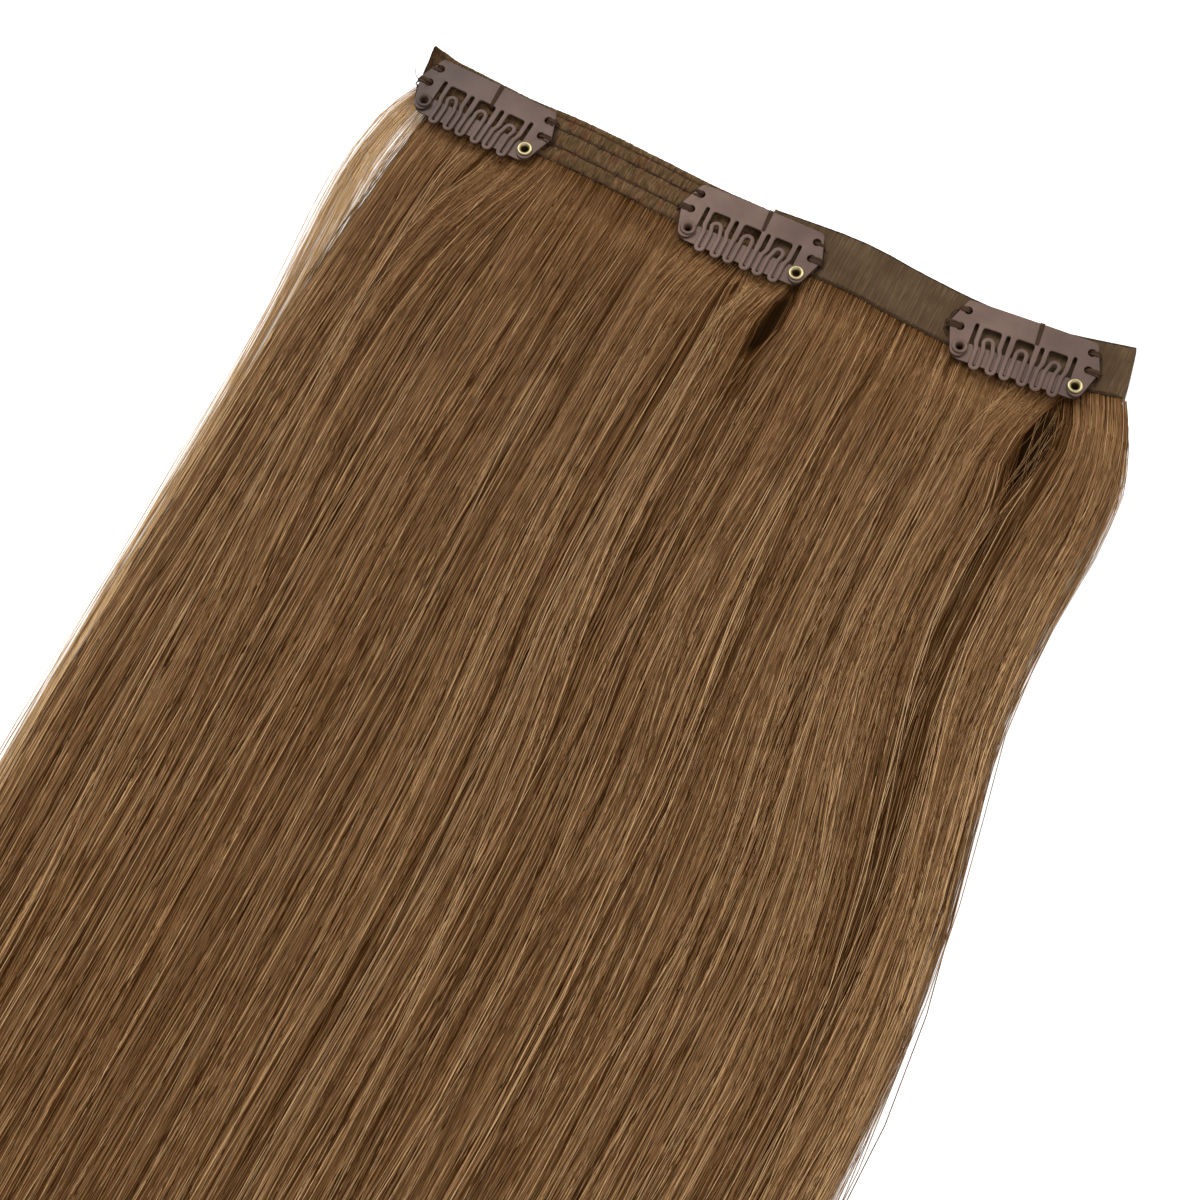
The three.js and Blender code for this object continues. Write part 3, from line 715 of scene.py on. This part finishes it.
def strand_paths(across, points, locks, depth, spread, lift, reach_share, drift):
    """Paths of strands that follow the flow, gather in locks and wander a little. depth is each strand's
    share of the sweeps and partings."""
    count = len(across)
    place = across * FALL_WIDTH
    edges = locks["edges"]
    own = np.clip(np.searchsorted(edges, place, "right") - 1, 0, len(edges) - 2)
    centre = ((edges[:-1] + edges[1:]) / 2)[own]
    offset = (place - centre) / (np.diff(edges)[own] / 2)
    lock = {key: locks[key][own][:, None] for key in ("length", "phase", "drift", "gather", "lift")}
    t = np.linspace(0, 1, points)
    t = 0.12 * t + 0.88 * t**2
    reach = hair_reach(across, soft_tip_y) / MM * reach_share
    down = ROOT_START + (reach - ROOT_START)[:, None] * t
    turn = math.tau * down / lock["length"] + lock["phase"]
    lock_wave = lock["drift"] * smoothstep(6, 45, down) * np.sin(turn)
    phase = rng.uniform(0, math.tau, (count, 1))
    own_wave = np.sin(math.tau * down / rng.uniform(60, 170, (count, 1)) + phase)
    gather = (centre - place)[:, None] * lock["gather"] * smoothstep(8, 45, down)
    side = place[:, None] + gather + lock_wave + own_wave * spread * smoothstep(6, 25, down)
    side = side + drift[:, None] * t
    side = side + drawn_in(np.maximum(side, 0), down)
    x, y = hair_place(side / FALL_WIDTH, down * MM)
    depth = np.broadcast_to(depth, count)[:, None]
    x = x + depth * swept(x[:, 0] / MM, down) * MM
    x = x + (0.85 + 0.15 * depth) * parted(x / MM, y / MM) * MM
    crown = 0.3 * (1 - offset**2)[:, None] * smoothstep(10, 50, down)
    z = hair_top.at(x, y) + (crown + (lift[:, None] + lock["lift"]) * smoothstep(6, 30, down)) * MM
    rise = smoothstep(ROOT_START, 16, down)
    z = z * rise + (1 - rise) * (2.0 + 0.6 * rng.random((count, 1))) * MM
    z = np.maximum(under_clips(z, down), 0.15 * MM)
    return np.stack([x, y, z], -1), own


def strand_piece(index, materials):
    """One layer of strands, sparse towards the left edge and a little towards the right one."""
    across = (np.arange(STRANDS_IN_PIECE) + rng.random(STRANDS_IN_PIECE)) / STRANDS_IN_PIECE
    kept = (0.4 + 0.6 * smoothstep(0, 0.02, across)) * (0.5 + 0.5 * smoothstep(0, 0.012, 1 - across))
    across = across[rng.random(STRANDS_IN_PIECE) < kept]
    count = len(across)
    level = index / (STRAND_PIECES - 1)
    locks = lock_layer(index)
    lift = rng.uniform(-0.12, 0.12, count) + 0.3 * level - 0.1
    depth = (0.3 + 0.7 * level) * rng.uniform(0.7, 1.0, count)
    share = LONGEST - SHORTER * rng.random(count) ** 1.3
    drift = rng.normal(0, 3.0, count)
    paths, own = strand_paths(across, STRAND_POINTS, locks, depth, 0.55, lift, share, drift)
    tufts = locks["tufts"][(across * FALL_WIDTH / TUFT_WIDTH).astype(int)]
    # Lighter at both edges, on the right half and in the locks that sweep; at the right edge this is
    # painted light shining through the thin hair.
    pale = 1.2 * (1 - smoothstep(0, 0.05, across)) + 1.2 * smoothstep(0.92, 0.98, across)
    pale += 0.35 * smoothstep(0.5, 0.56, across)
    pale += 0.4 * sum(sweep_share(sweep, paths[:, 0, 0] / MM) for sweep in SWEEPS)
    # Painted shade: the deeper layers of strands are darker.
    shade = 0.7 * level + pale + locks["shade"][own] + tufts + rng.normal(0, 2.1, count)
    # Painted shade: a little darker and more even near the band and the clips over it, and dark in the
    # partings.
    middle = (paths[:, 1:, :2] + paths[:, :-1, :2]) / 2 / MM
    away = smoothstep(10, 70, -middle[..., 1])
    shade = 1.9 + 0.3 * away + (0.7 + 0.3 * away) * (shade[:, None] + rng.normal(0, 0.6, middle.shape[:2]))
    shade = shade - 3.0 * shadowed(middle[..., 0], middle[..., 1])
    tones = np.clip(np.round(shade), 0, len(materials) - 2)
    hairs(f"hair_strands_{index}", paths, rng.uniform(*STRAND_RADIUS, count), tones, materials)


def stray_hairs(materials):
    """Single hairs that cross the fall or stand a little off it."""
    count, points = STRAY_COUNT, 22
    across = rng.uniform(0.02, 0.98, count)
    lift = rng.uniform(0.2, 0.7, count)
    drift = rng.normal(0, 8.0, count)
    share = rng.uniform(0.55, 1.0, count)
    paths, _ = strand_paths(across, points, lock_layer(STRAND_PIECES), 0.8, 0.8, lift, share, drift)
    radii = rng.uniform(0.045, 0.075, count)
    tones = rng.integers(4, len(materials) - 1, count)[:, None]
    hairs("hair_strays", paths, radii, tones, materials)


def crossing_hairs(materials):
    """Loose light hairs that fan across the right parting."""
    count, points = CROSSING_COUNT, 18
    down = np.linspace(5, 62, points)[None, :] + rng.uniform(-0.5, 1, (count, 1))
    start = rng.uniform(*CROSSING_ROOTS, (count, 1))
    left, either = rng.uniform(-8, -1, (count, 1)), rng.uniform(-3, 4, (count, 1))
    slant = np.where(start > CROSSING_SIDE, left, either)
    bend = rng.normal(0, 0.45, (count, 1)) * np.sin(down / rng.uniform(5, 9, (count, 1)))
    x = (start + slant * smoothstep(8, 38, down) + bend) * MM
    y = np.broadcast_to(-down * MM, x.shape)
    z = hair_top.at(x, y) + rng.uniform(-0.1, 0.35, (count, 1)) * MM
    z = under_clips(z, down)
    radii = rng.uniform(0.035, 0.055, count)
    tones = rng.integers(3, len(materials) - 1, count)[:, None]
    hairs("hair_crossing", np.stack([x, y, z], -1), radii, tones, materials)


def edge_wisps(materials):
    """Loose hairs along both sides: thin tufts with gaps between them on the left, single ones on the right.
    Each has its place across, how far it stands out, its phase, where it starts and how much it curls."""
    loose = []
    for group in LEFT_TUFTS:
        for k in range(group["count"]):
            at = group["from"] + (group["to"] - group["from"]) * (k + rng.uniform(0.3, 0.7)) / group["count"]
            turn = rng.uniform(0, math.tau)
            away = -max(0, 1 - at / TUFTS_WITHIN) ** 2 * TUFTS_OUT
            for _ in range(rng.integers(*group["hairs"])):
                place = (at + rng.normal(0, 0.11)) / FALL_WIDTH
                out = away - rng.normal(0, 0.2)
                loose.append((place, out, turn + rng.normal(0, 0.3), rng.uniform(1.5, 3.5), group["curl"]))
    left = len(loose)
    for _ in range(RIGHT_WISPS):
        place = 1 - rng.uniform(0, 0.012)
        out = abs(rng.normal(0, 0.7))
        loose.append((place, out, rng.uniform(0, math.tau), ROOT_START, 0.2))
    across, out, phase, start, curl = np.array(loose).T[..., None]
    count, points = len(loose), 24
    t = np.linspace(0, 1, points)
    t = 0.3 * t + 0.7 * t**2
    share = rng.uniform(0.55, 1.0, (count, 1))
    down = start + (hair_reach(across, tip_y) / MM * share - start) * t
    x, y = hair_place(across, down * MM)
    wave = 0.5 * smoothstep(10, 40, down) * np.sin(down / 24 + phase)
    wave = wave + curl * np.sin(down / rng.uniform(7, 13, (count, 1)) + rng.uniform(0, 6.3, (count, 1)))
    # Tufts stand out from the band on, and most near it.
    apart = out * smoothstep(4, 26, down)
    near = 1.35 - 0.35 * smoothstep(25, 60, down[:left])
    apart[:left] = out[:left] * smoothstep(-3, 12, down[:left]) * near
    x = x + (apart + wave * smoothstep(0, 8, down)) * MM
    low = 0.1 + rng.uniform(0.2, 1.2, (count, 1)) * smoothstep(-6, 25, down)
    low = np.where(down < 9, np.minimum(low, 0.95), low) * MM
    onto = smoothstep(40, 85, down)
    high = hair_top.at(x, y) + rng.uniform(-0.2, 0.25, (count, 1)) * MM
    z = low * (1 - onto) + onto * np.maximum(low, high)
    radii = rng.uniform(0.05, 0.09, count)
    tones = rng.choice([5, 6, 7, 8], (count, 1), p=[0.1, 0.25, 0.3, 0.35])
    tones[left:] = rng.choice([4, 5, 6, 7], (count - left, 1))
    hairs("hair_wisps", np.stack([x, y, z], -1), radii, tones, materials)


# Band and tape


def band_top(x, y):
    """Height of the band's face, or its highest where a ray finds none."""
    hit = wall(band_tree, (x, y, 0.1), (0, 0, -1))
    return hit.z if hit else band_high[2]


def band_face(name, x_from, x_to, step, lift, ragged, material):
    """Finer form of a stretch of the band: rows along it, columns across it, with a lift for the detail and
    an upper edge that is ragged by some millimetres."""
    across = np.concatenate([[0.0, 0.012], np.linspace(0.03, 0.95, 34), [0.97, 0.988, 1.0]])
    xs = np.append(np.arange(x_from, x_to - step / 2, step), x_to)
    low = np.interp(xs, edge_x, edge_low)
    high = np.interp(xs, edge_x, edge_high)
    top = np.zeros((len(xs), len(across), 3))
    flow = np.zeros((len(xs), len(across), 2))
    for i, x in enumerate(xs):
        uneven = ragged * rough(x / MM / 0.9, 2.0, 7.0) * MM
        for j, t in enumerate(across):
            y = low[i] + (high[i] - low[i]) * t
            inside = low[i] + (high[i] - low[i]) * min(max(t, 0.01), 0.99)
            z = band_top(x, inside) + lift(x / MM, (t - 0.5) * 2 * HALF_BAND)
            top[i, j] = (x, y + uneven * (t > 0.96), z)
            flow[i, j] = (x / MM, t * 2 * HALF_BAND)
    return relief(name, top, flow, band_low[2], material)


def weft_detail(x, off):
    """Puckers between the stitches, furrows of hair and the lumpy folded top edge, in metres."""
    furrows = rough(x / 0.5, off / 4.0, 1.0)
    puckers = rough(x / 2.2, off / 2.2, 5.0)
    lumps = rough(x / 0.8, off / 0.7, 9.0)
    fold = float(smoothstep(4.6, 5.0, off)) * (1 - float(smoothstep(5.6, 6.0, off)))
    return (0.08 * furrows + 0.13 * puckers + fold * (0.16 + 0.2 * lumps)) * MM


def tape_detail(x, off):
    """Faint lines across the tape, its soft swell and crumbs along its lower edge, in metres."""
    lines = rough(x / 0.8, off / 14.0, 2.0)
    swell = rough(x / 9.0, off / 6.0, 4.0)
    crumbs = rough(x / 0.7, off / 0.7, 6.0)
    seam = 1 - float(smoothstep(-5.6, -4.9, off))
    return (0.03 * lines + 0.09 * swell + 0.12 * seam * crumbs) * MM


def on_band(x, off, rise):
    """Point on the band from x, the distance from its middle line and the height over its face, all in
    millimetres."""
    low, high = (np.interp(x * MM, edge_x, edge) for edge in (edge_low, edge_high))
    y = (low + high) / 2 + off * MM
    inside = min(max(y, low + 0.1 * MM), high - 0.1 * MM)
    return (x * MM, y, band_top(x * MM, inside) + rise * MM)


def stitched_rows(x_from, x_to, material):
    """Thread rows of the weft: uneven stitches that dip into it at each end, some with a knot across them."""
    runs = []
    for row in STITCH_ROWS:
        x = x_from
        while x < x_to - STITCH_LENGTH:
            length = STITCH_LENGTH * rng.uniform(0.75, 1.2)
            points = []
            for share, rise in ((0, -0.2), (0.12, 0.04), (0.5, 0.12), (0.88, 0.04), (1.0, -0.2)):
                px = x + length * share
                wander = 0.25 * rough(px / 2.6, row["at"], 0)
                wander += 0.3 * rough(px / 11.0, row["at"], 4)
                points.append(on_band(px, row["at"] + wander, rise))
            runs.append((points, row["radius"] / STITCH_RADIUS * rng.uniform(0.75, 1.2)))
            if rng.random() < row["knots"]:
                off = row["at"] + 0.3 * rough(x / 11.0, row["at"], 4)
                lean = rng.uniform(-0.2, 0.2)
                knot = ((-lean, 0.6, -0.12), (-lean / 2, 0.25, 0.22), (0.06, -0.05, 0.3), (lean, -0.5, -0.1))
                points = [on_band(x + dx, off + dy, rise) for dx, dy, rise in knot]
                runs.append((points, rng.uniform(1.2, 1.9)))
            x += length * 0.97
    threads("weft_stitches", runs, STITCH_RADIUS * MM, material)


# Snap clips


def clip_matrix(name):
    """Frame of a clip, from its hinge: along the eyelet line, square to it, and up."""
    joint = next(j for j in record["behaviour"]["joints"] if j["name"] == f"clip_{name}_snap")
    along = -Vector(joint["axis"])
    up = Vector((0, 0, 1))
    square = up.cross(along)
    origin = Vector(joint["pos_m"]) - square * FLEX_LINE * MM
    origin.z = 0
    matrix = Matrix((along, square, up)).transposed().to_4x4()
    matrix.translation = origin
    return matrix


def top_outlines(node, into):
    """Outlines of a flat sheet's upper face in the clip's frame, in millimetres, with the sheet on their
    left, and the face's height."""
    mesh = nodes[node].data
    places = [(into @ nodes[node].matrix_world @ vertex.co) / MM for vertex in mesh.vertices]
    level = max(place.z for place in places)
    key = [(round(place.x, 3), round(place.y, 3)) for place in places]
    edges = set()
    for face in mesh.polygons:
        if all(places[i].z > level - 0.01 for i in face.vertices):
            corners = [key[i] for i in face.vertices]
            edges.update(zip(corners, corners[1:] + corners[:1]))
    follow = {a: b for a, b in edges if (b, a) not in edges}
    loops = []
    while follow:
        start, place = follow.popitem()
        loop = [start]
        while place != start:
            loop.append(place)
            place = follow.pop(place)
        loops.append(np.array(loop))
    loops.sort(key=lambda loop: -np.ptp(loop[:, 0]))
    return loops, level


comb_outline = top_outlines("clip_left_comb", clip_matrix("left").inverted())[0][0]
comb_half = comb_outline[:, 0].max()


def on_joint(loop):
    """Which points of an outline lie where the visual halves of a clip's sheet meet."""
    beside = (np.abs(np.abs(loop[:, 0]) - comb_half) < 0.01) & (loop[:, 1] > SLOT_TOP - 0.01)
    return beside | (np.abs(loop[:, 1] - SEAM_LINE) < 0.01)


def rounded(loop, cut):
    """Outline with each corner cut back and rounded by a short curve, but square where the halves meet."""
    points = []
    before, after = np.roll(loop, 1, 0), np.roll(loop, -1, 0)
    for a, corner, b, square in zip(before, loop, after, on_joint(loop)):
        if square:
            points.append(corner)
            continue
        back, ahead = a - corner, b - corner
        back_length, ahead_length = np.linalg.norm(back), np.linalg.norm(ahead)
        start = corner + back * min(cut / back_length, 0.42)
        end = corner + ahead * min(cut / ahead_length, 0.42)
        for t in (0.0, 0.33, 0.67, 1.0):
            points.append(start * (1 - t) ** 2 + 2 * corner * t * (1 - t) + end * t * t)
    return np.array(points)


def inset(loop, distance):
    """Outline moved into the sheet by a distance."""
    step = np.roll(loop, -1, 0) - loop
    step /= np.linalg.norm(step, axis=1, keepdims=True)
    normal = np.stack([-step[:, 1], step[:, 0]], 1)
    before = np.roll(normal, 1, 0)
    spread = 1 + (normal * before).sum(1, keepdims=True)
    return loop + distance * (normal + before) / np.maximum(spread, 0.4)


def clip_piece(name, work, matrix, sharp, material):
    """Object from a mesh that was built in a clip's frame, in millimetres."""
    mesh = bpy.data.meshes.new(name)
    work.to_mesh(mesh)
    work.free()
    mesh.transform(matrix @ Matrix.Scale(MM, 4))
    smoothed(mesh, sharp)
    return new_object(name, mesh, [material])


def sheet_mesh(name, loops, floor, level, edge, matrix, material, cuts):
    """Stamped sheet with rounded edges from outlines in the clip's frame, square where its halves meet. cuts
    holds places along each axis where its faces are split, so that it can bend."""
    turns = [math.radians(a) for a in (0, 35, 65, 90)]
    rings = [(edge * 0.4, floor), (0.0, floor + edge * 0.4)]
    rings += [(edge * (1 - math.cos(a)), level - edge * (1 - math.sin(a))) for a in turns]
    work = bmesh.new()
    borders = [[], []]
    for loop in loops:
        made = []
        for distance, z in rings:
            places = inset(loop, distance)
            square = on_joint(loop)
            places[square] = loop[square]
            made.append([work.verts.new((x, y, z)) for x, y in places])
        for low, high in zip(made, made[1:]):
            for i in range(len(low)):
                k = (i + 1) % len(low)
                work.faces.new((low[i], low[k], high[k], high[i]))
        for border, ring in zip(borders, (made[0], made[-1])):
            for i in range(len(ring)):
                border.append(work.edges.get((ring[i], ring[(i + 1) % len(ring)])))
    for border, facing in zip(borders, (-1, 1)):
        bmesh.ops.triangle_fill(work, use_beauty=True, edges=border, normal=(0, 0, facing))
    for axis, places in cuts.items():
        direction = Vector([float(i == axis) for i in range(3)])
        for place in places:
            parts = work.verts[:] + work.edges[:] + work.faces[:]
            point = direction * place
            bmesh.ops.bisect_plane(work, geom=parts, dist=0.001, plane_co=point, plane_no=direction)
    bmesh.ops.recalc_face_normals(work, faces=work.faces)
    for vertex in work.verts:
        vertex.co.z += sheet_arch(vertex.co.x, vertex.co.y)
    piece = clip_piece(name, work, matrix, 50, material)
    even = piece.modifiers.new("even_normals", "WEIGHTED_NORMAL")
    even.weight = 80
    even.keep_sharp = True
    return piece


def sheet_arch(x, y):
    """Slight arch of the sprung sheet, up between the eyelets and flat at them, in millimetres."""
    middle = max(0.0, 1 - (x / 12.0) ** 2)
    return 0.16 * middle * float(smoothstep(0.0, 9.0, y))


def eyelet(name, matrix, x, top, bottom, material):
    """Hollow rivet with a rolled flange above the sheet and a flat one below the bar."""
    lower = [(0.70, 0), (1.60, 0), (1.65, 0.05), (1.65, 0.28), (0.92, 0.30)]
    upper = [(0.92, 0.38), (1.58, 0.38), (1.65, 0.28), (1.62, 0.12), (1.48, 0.02), (1.30, 0), (1.10, 0.05)]
    upper += [(0.92, 0.17), (0.78, 0.38), (0.70, 0.7)]
    profile = [(r, bottom + rise) for r, rise in lower] + [(r, top - depth) for r, depth in upper]
    segments = 40
    work = bmesh.new()
    rings = []
    for s in range(segments):
        a = math.tau * s / segments
        rings.append([work.verts.new((x + r * math.cos(a), r * math.sin(a), z)) for r, z in profile])
    for s in range(segments):
        here, there = rings[s], rings[(s + 1) % segments]
        for p in range(len(profile)):
            q = (p + 1) % len(profile)
            work.faces.new((here[p], there[p], there[q], here[q]))
    bmesh.ops.recalc_face_normals(work, faces=work.faces)
    return clip_piece(name, work, matrix, 50, material)


def side_of(outline, y):
    """Half width of a clip's plate at a height, in millimetres."""
    a, b = outline, np.roll(outline, -1, 0)
    met = ((a[:, 1] - y) * (b[:, 1] - y) <= 0) & (np.abs(b[:, 1] - a[:, 1]) > 0.001)
    a, b = a[met], b[met]
    share = (y - a[:, 1]) / (b[:, 1] - a[:, 1])
    return (a[:, 0] + share * (b[:, 0] - a[:, 0])).max()


def end_threads(plate_loops):
    """Threads that loop over a clip's ends through its sewing holes. Heights are over the plate's face."""
    runs = []
    for hole in plate_loops[1:]:
        x, y = hole.mean(0)
        if y < 2:
            continue
        side = math.copysign(1, x)
        rim = side_of(plate_loops[0], y)
        for _ in range(THREADS_IN_HOLE):
            dy = rng.uniform(-0.62, 0.62)
            end = rng.uniform(0.1, 0.8)
            fan = dy * rng.uniform(0.9, 1.3)
            points = [
                (x - side * rng.uniform(0.1, 0.7), y + dy, -1.0),
                (x - side * rng.uniform(0.0, 0.5), y + dy, -0.1),
                (x + side * 0.75, y + dy * 1.1, 0.16),
                (side * (rim - 0.1), y + fan, 0.16),
                (side * (rim + 0.2), y + fan, -0.4),
                (side * (rim + end), y + fan * 1.2, -1.35),
                (side * (rim + end + 0.2), y + fan * 1.2, -1.9),
            ]
            runs.append((points, rng.uniform(0.75, 1.05)))
    return runs


def loose_threads(name, outer):
    """Loose thread on the band beside a clip's ends, and a tail at the left clip."""
    runs = []
    for side in LOOSE_SIDES[name]:
        for _ in range(LOOSE_THREADS):
            ys = np.linspace(rng.uniform(8.5, 10.0), rng.uniform(1.5, 4.0), 8)
            away = rng.uniform(0.2, 1.1)
            xs = [side_of(outer, y) + away + rng.uniform(-0.3, 0.3) for y in ys]
            bits = [(side * x, y, -1.36) for x, y in zip(xs, ys)]
            points = [(*bits[0][:2], -1.9), *bits, (*bits[-1][:2], -1.9)]
            runs.append((points, rng.uniform(0.5, 0.85)))
    if name == "left":
        tail = [(-14.6, 4.6, -1.2), (-16.2, 4.5, -0.9), (-17.4, 5.0, -1.3), (-18.3, 6.3, -1.6)]
        runs.append(([*tail, (-18.7, 7.0, -1.7)], 0.5))
    return runs


def middle_threads(name, outer):
    """Three threads over a clip's middle, from its top edge down into the window above the comb."""
    runs = []
    top = outer[:, 1].max()
    x = MIDDLE_THREADS[name]
    crest = 0.14 + sheet_arch(x, 9.0)
    for dx in (-0.3, -0.02, 0.26):
        points = [
            (x - 0.1 + dx, top + 0.8, -1.8),
            (x - 0.08 + dx * 1.3, top + 0.5, -0.7),
            (x + dx * 1.3, top + 0.05, crest),
            (x + 0.1 + dx, top - 2.6, crest + 0.02),
            (x + 0.25 + dx * 0.9, 6.3, crest - 0.05),
            (x + 0.3 + dx * 0.9, 5.75, -0.2),
            (x + 0.3 + dx * 0.9, 5.5, -1.3),
        ]
        runs.append((points, rng.uniform(0.85, 1.1)))
    return runs


def sewing(name, matrix, plate_loops, level, material):
    """Threads that tie a clip down. level is the height of the plate's face."""
    outer = plate_loops[0]
    runs = end_threads(plate_loops) + loose_threads(name, outer) + middle_threads(name, outer)
    placed = [
        ([matrix @ (Vector((x, y, level + z)) * MM) for x, y, z in points], scale)
        for points, scale in runs
    ]
    threads(f"clip_{name}_threads", placed, THREAD_RADIUS * MM, material)


def snap_clip(name, paint, brass, thread):
    """Finer forms of one clip: a sheet in two pieces, plate and comb, rivets, a softer bar and threads."""
    matrix = clip_matrix(name)
    into = matrix.inverted()
    plate, level = top_outlines(f"clip_{name}_plate", into)
    comb, _ = top_outlines(f"clip_{name}_comb", into)
    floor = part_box(f"clip_{name}_plate")[0][2] / MM
    comb[0] = with_shoulders(comb[0])
    plate[0] = with_notch(plate[0])
    plate = [rounded(loop, PLATE_CORNER) for loop in plate]
    comb = [rounded(loop, COMB_CORNER) for loop in comb]
    # The plate is split for its arch, and the comb also where it bends.
    columns = np.arange(-15, 15.1, 1.5)
    cuts = {0: columns, 1: (8.5, 10)}
    face = sheet_mesh(f"clip_{name}_face", plate, floor, level, PLATE_EDGE, matrix, paint, cuts)
    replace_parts(dressed(face), f"clip_{name}_plate")
    cuts = {0: columns, 1: np.linspace(FLEX_END - 0.3, SEAM_LINE - 0.15, 12)}
    teeth = sheet_mesh(f"clip_{name}_teeth", comb, floor, level, COMB_EDGE, matrix, paint, cuts)
    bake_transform(teeth)
    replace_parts(teeth, f"clip_{name}_comb")
    for finish, slot, material in (("painted", "clip_paint", paint), ("brass", "eyelet_brass", brass)):
        node = f"clip_{name}_eyelet_{finish}"
        low, high = (Vector(corner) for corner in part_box(node))
        x = (into @ ((low + high) / 2)).x / MM
        ring = eyelet(f"clip_{name}_rivet_{finish}", matrix, x, high.z / MM, low.z / MM, material)
        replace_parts(dressed(ring), node)
    bar = nodes[f"clip_{name}_bar"]
    bar.data.materials.clear()
    bar.data.materials.append(paint)
    soften = bar.modifiers.new("soft_edges", "BEVEL")
    soften.width = 0.1 * MM
    soften.segments = 2
    soften.angle_limit = math.radians(40)
    sewing(name, matrix, plate, level, thread)


def with_notch(loop):
    """The plate's outline, with round tops to the slots beside the comb and, over the comb, the seam."""
    lobe = np.abs(loop[np.abs(loop[:, 1] - FLEX_LINE) < 0.3, 0]).min()
    middle, radius = (lobe + comb_half) / 2, (lobe - comb_half) / 2
    turns = np.linspace(0, math.pi, 7)
    points = []
    for a, b in zip(loop, np.roll(loop, -1, 0)):
        if abs(a[1] - FLEX_LINE) > 0.3:
            points.append(a)
        elif abs(a[0] - b[0]) > comb_half:
            side = math.copysign(1, a[0])
            slot = [(middle + radius * math.cos(turn), SLOT_TOP + radius * math.sin(turn)) for turn in turns]
            points += [(side * x, y) for x, y in slot] + [(side * comb_half, SEAM_LINE)]
            points += [(-side * comb_half, SEAM_LINE)] + [(-side * x, y) for x, y in slot[::-1]]
    return np.array(points)


def with_shoulders(loop):
    """The comb's outline up to the seam, with a point on each side where its slot's top meets it."""
    loop = loop.copy()
    loop[loop[:, 1] > FLEX_LINE - 0.4, 1] = SEAM_LINE
    points = []
    for a, b in zip(loop, np.roll(loop, -1, 0)):
        points.append(a)
        if abs(a[0] - b[0]) < 0.01 and abs(abs(a[0]) - comb_half) < 0.01 and abs(a[1] - b[1]) > 2:
            points.append(np.array([a[0], SLOT_TOP]))
    return np.array(points)


# The whole piece


strand_tones = strand_materials()
weft = weft_material()
tape = tape_material()
paint = paint_material()
brass = new_material("eyelet_brass", (146, 134, 100), 0.4, Metallic=1.0)
thread = new_material("sewing_thread", (60, 44, 33), 0.75, Specular_IOR_Level=0.06)

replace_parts(dressed(hair_base()), "hair")
for index in range(STRAND_PIECES):
    strand_piece(index, strand_tones)
stray_hairs(strand_tones)
crossing_hairs(strand_tones)
edge_wisps(strand_tones)

weft_ends = (band_low[0] + 0.1 * MM, tape_from + 1.5 * MM)
weft_face = band_face("weft_face", *weft_ends, 0.3 * MM, weft_detail, 0.14, weft)
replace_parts(dressed(weft_face), "weft_band")
tape_ends = (tape_from, band_high[0] - 0.05 * MM)
tape_face = band_face("tape_face", *tape_ends, 0.4 * MM, tape_detail, 0.05, tape)
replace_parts(dressed(tape_face), "cover_tape")
stitched_rows(band_low[0] / MM + 1.5, tape_from / MM, thread)

for clip in CLIP_NAMES:
    snap_clip(clip, paint, brass, thread)


# Floor, light and camera


def studio():
    floor_mesh = bpy.data.meshes.new("floor")
    half = 6.0
    corners = [(-half, -half, 0), (half, -half, 0), (half, half, 0), (-half, half, 0)]
    floor_mesh.from_pydata(corners, [], [(0, 1, 2, 3)])
    white = (1.0, 1.0, 1.0, 1.0)
    pale = new_material("floor", (245, 245, 245), 0.9, Emission_Color=white, Emission_Strength=0.25)
    floor = new_object("floor", floor_mesh, [pale])
    floor.location.z = -0.05 * MM
    for name, place, size, energy, sheen in (
        ("key", (-1.5, 1.1, 2.6), 1.6, 76.0, 0.02),
        ("sheen", (0.5, 1.45, 2.3), 1.2, 24.0, 0.9),
        ("fill", (0.9, -0.7, 1.1), 1.2, 6.0, 0.5),
    ):
        light = bpy.data.lights.new(name, "AREA")
        light.size = size
        light.energy = energy
        light.specular_factor = sheen
        lamp = new_object(name, light)
        lamp.location = place
        lamp.rotation_euler = (Vector((0, -0.15, 0)) - Vector(place)).to_track_quat("-Z", "Y").to_euler()
    world = bpy.data.worlds.new("studio")
    world.use_nodes = True
    background = world.node_tree.nodes["Background"]
    background.inputs["Color"].default_value = (1, 1, 1, 1)
    background.inputs["Strength"].default_value = 0.75
    bpy.context.scene.world = world
    bpy.context.scene.view_settings.view_transform = "Standard"


def photo_camera():
    camera = bpy.data.cameras.new("camera")
    camera.sensor_width = 36
    camera.lens = LENS
    camera.clip_start = 0.01
    camera.clip_end = 20
    azimuth, elevation = math.radians(AZIMUTH), math.radians(ELEVATION)
    flat = math.cos(elevation)
    back = Vector((math.sin(azimuth) * flat, -math.cos(azimuth) * flat, math.sin(elevation)))
    eye = new_object("camera", camera)
    eye.location = LOOK_AT + back * DISTANCE
    eye.rotation_euler = (-back).to_track_quat("-Z", "Y").to_euler()
    bpy.context.scene.camera = eye


studio()
photo_camera()
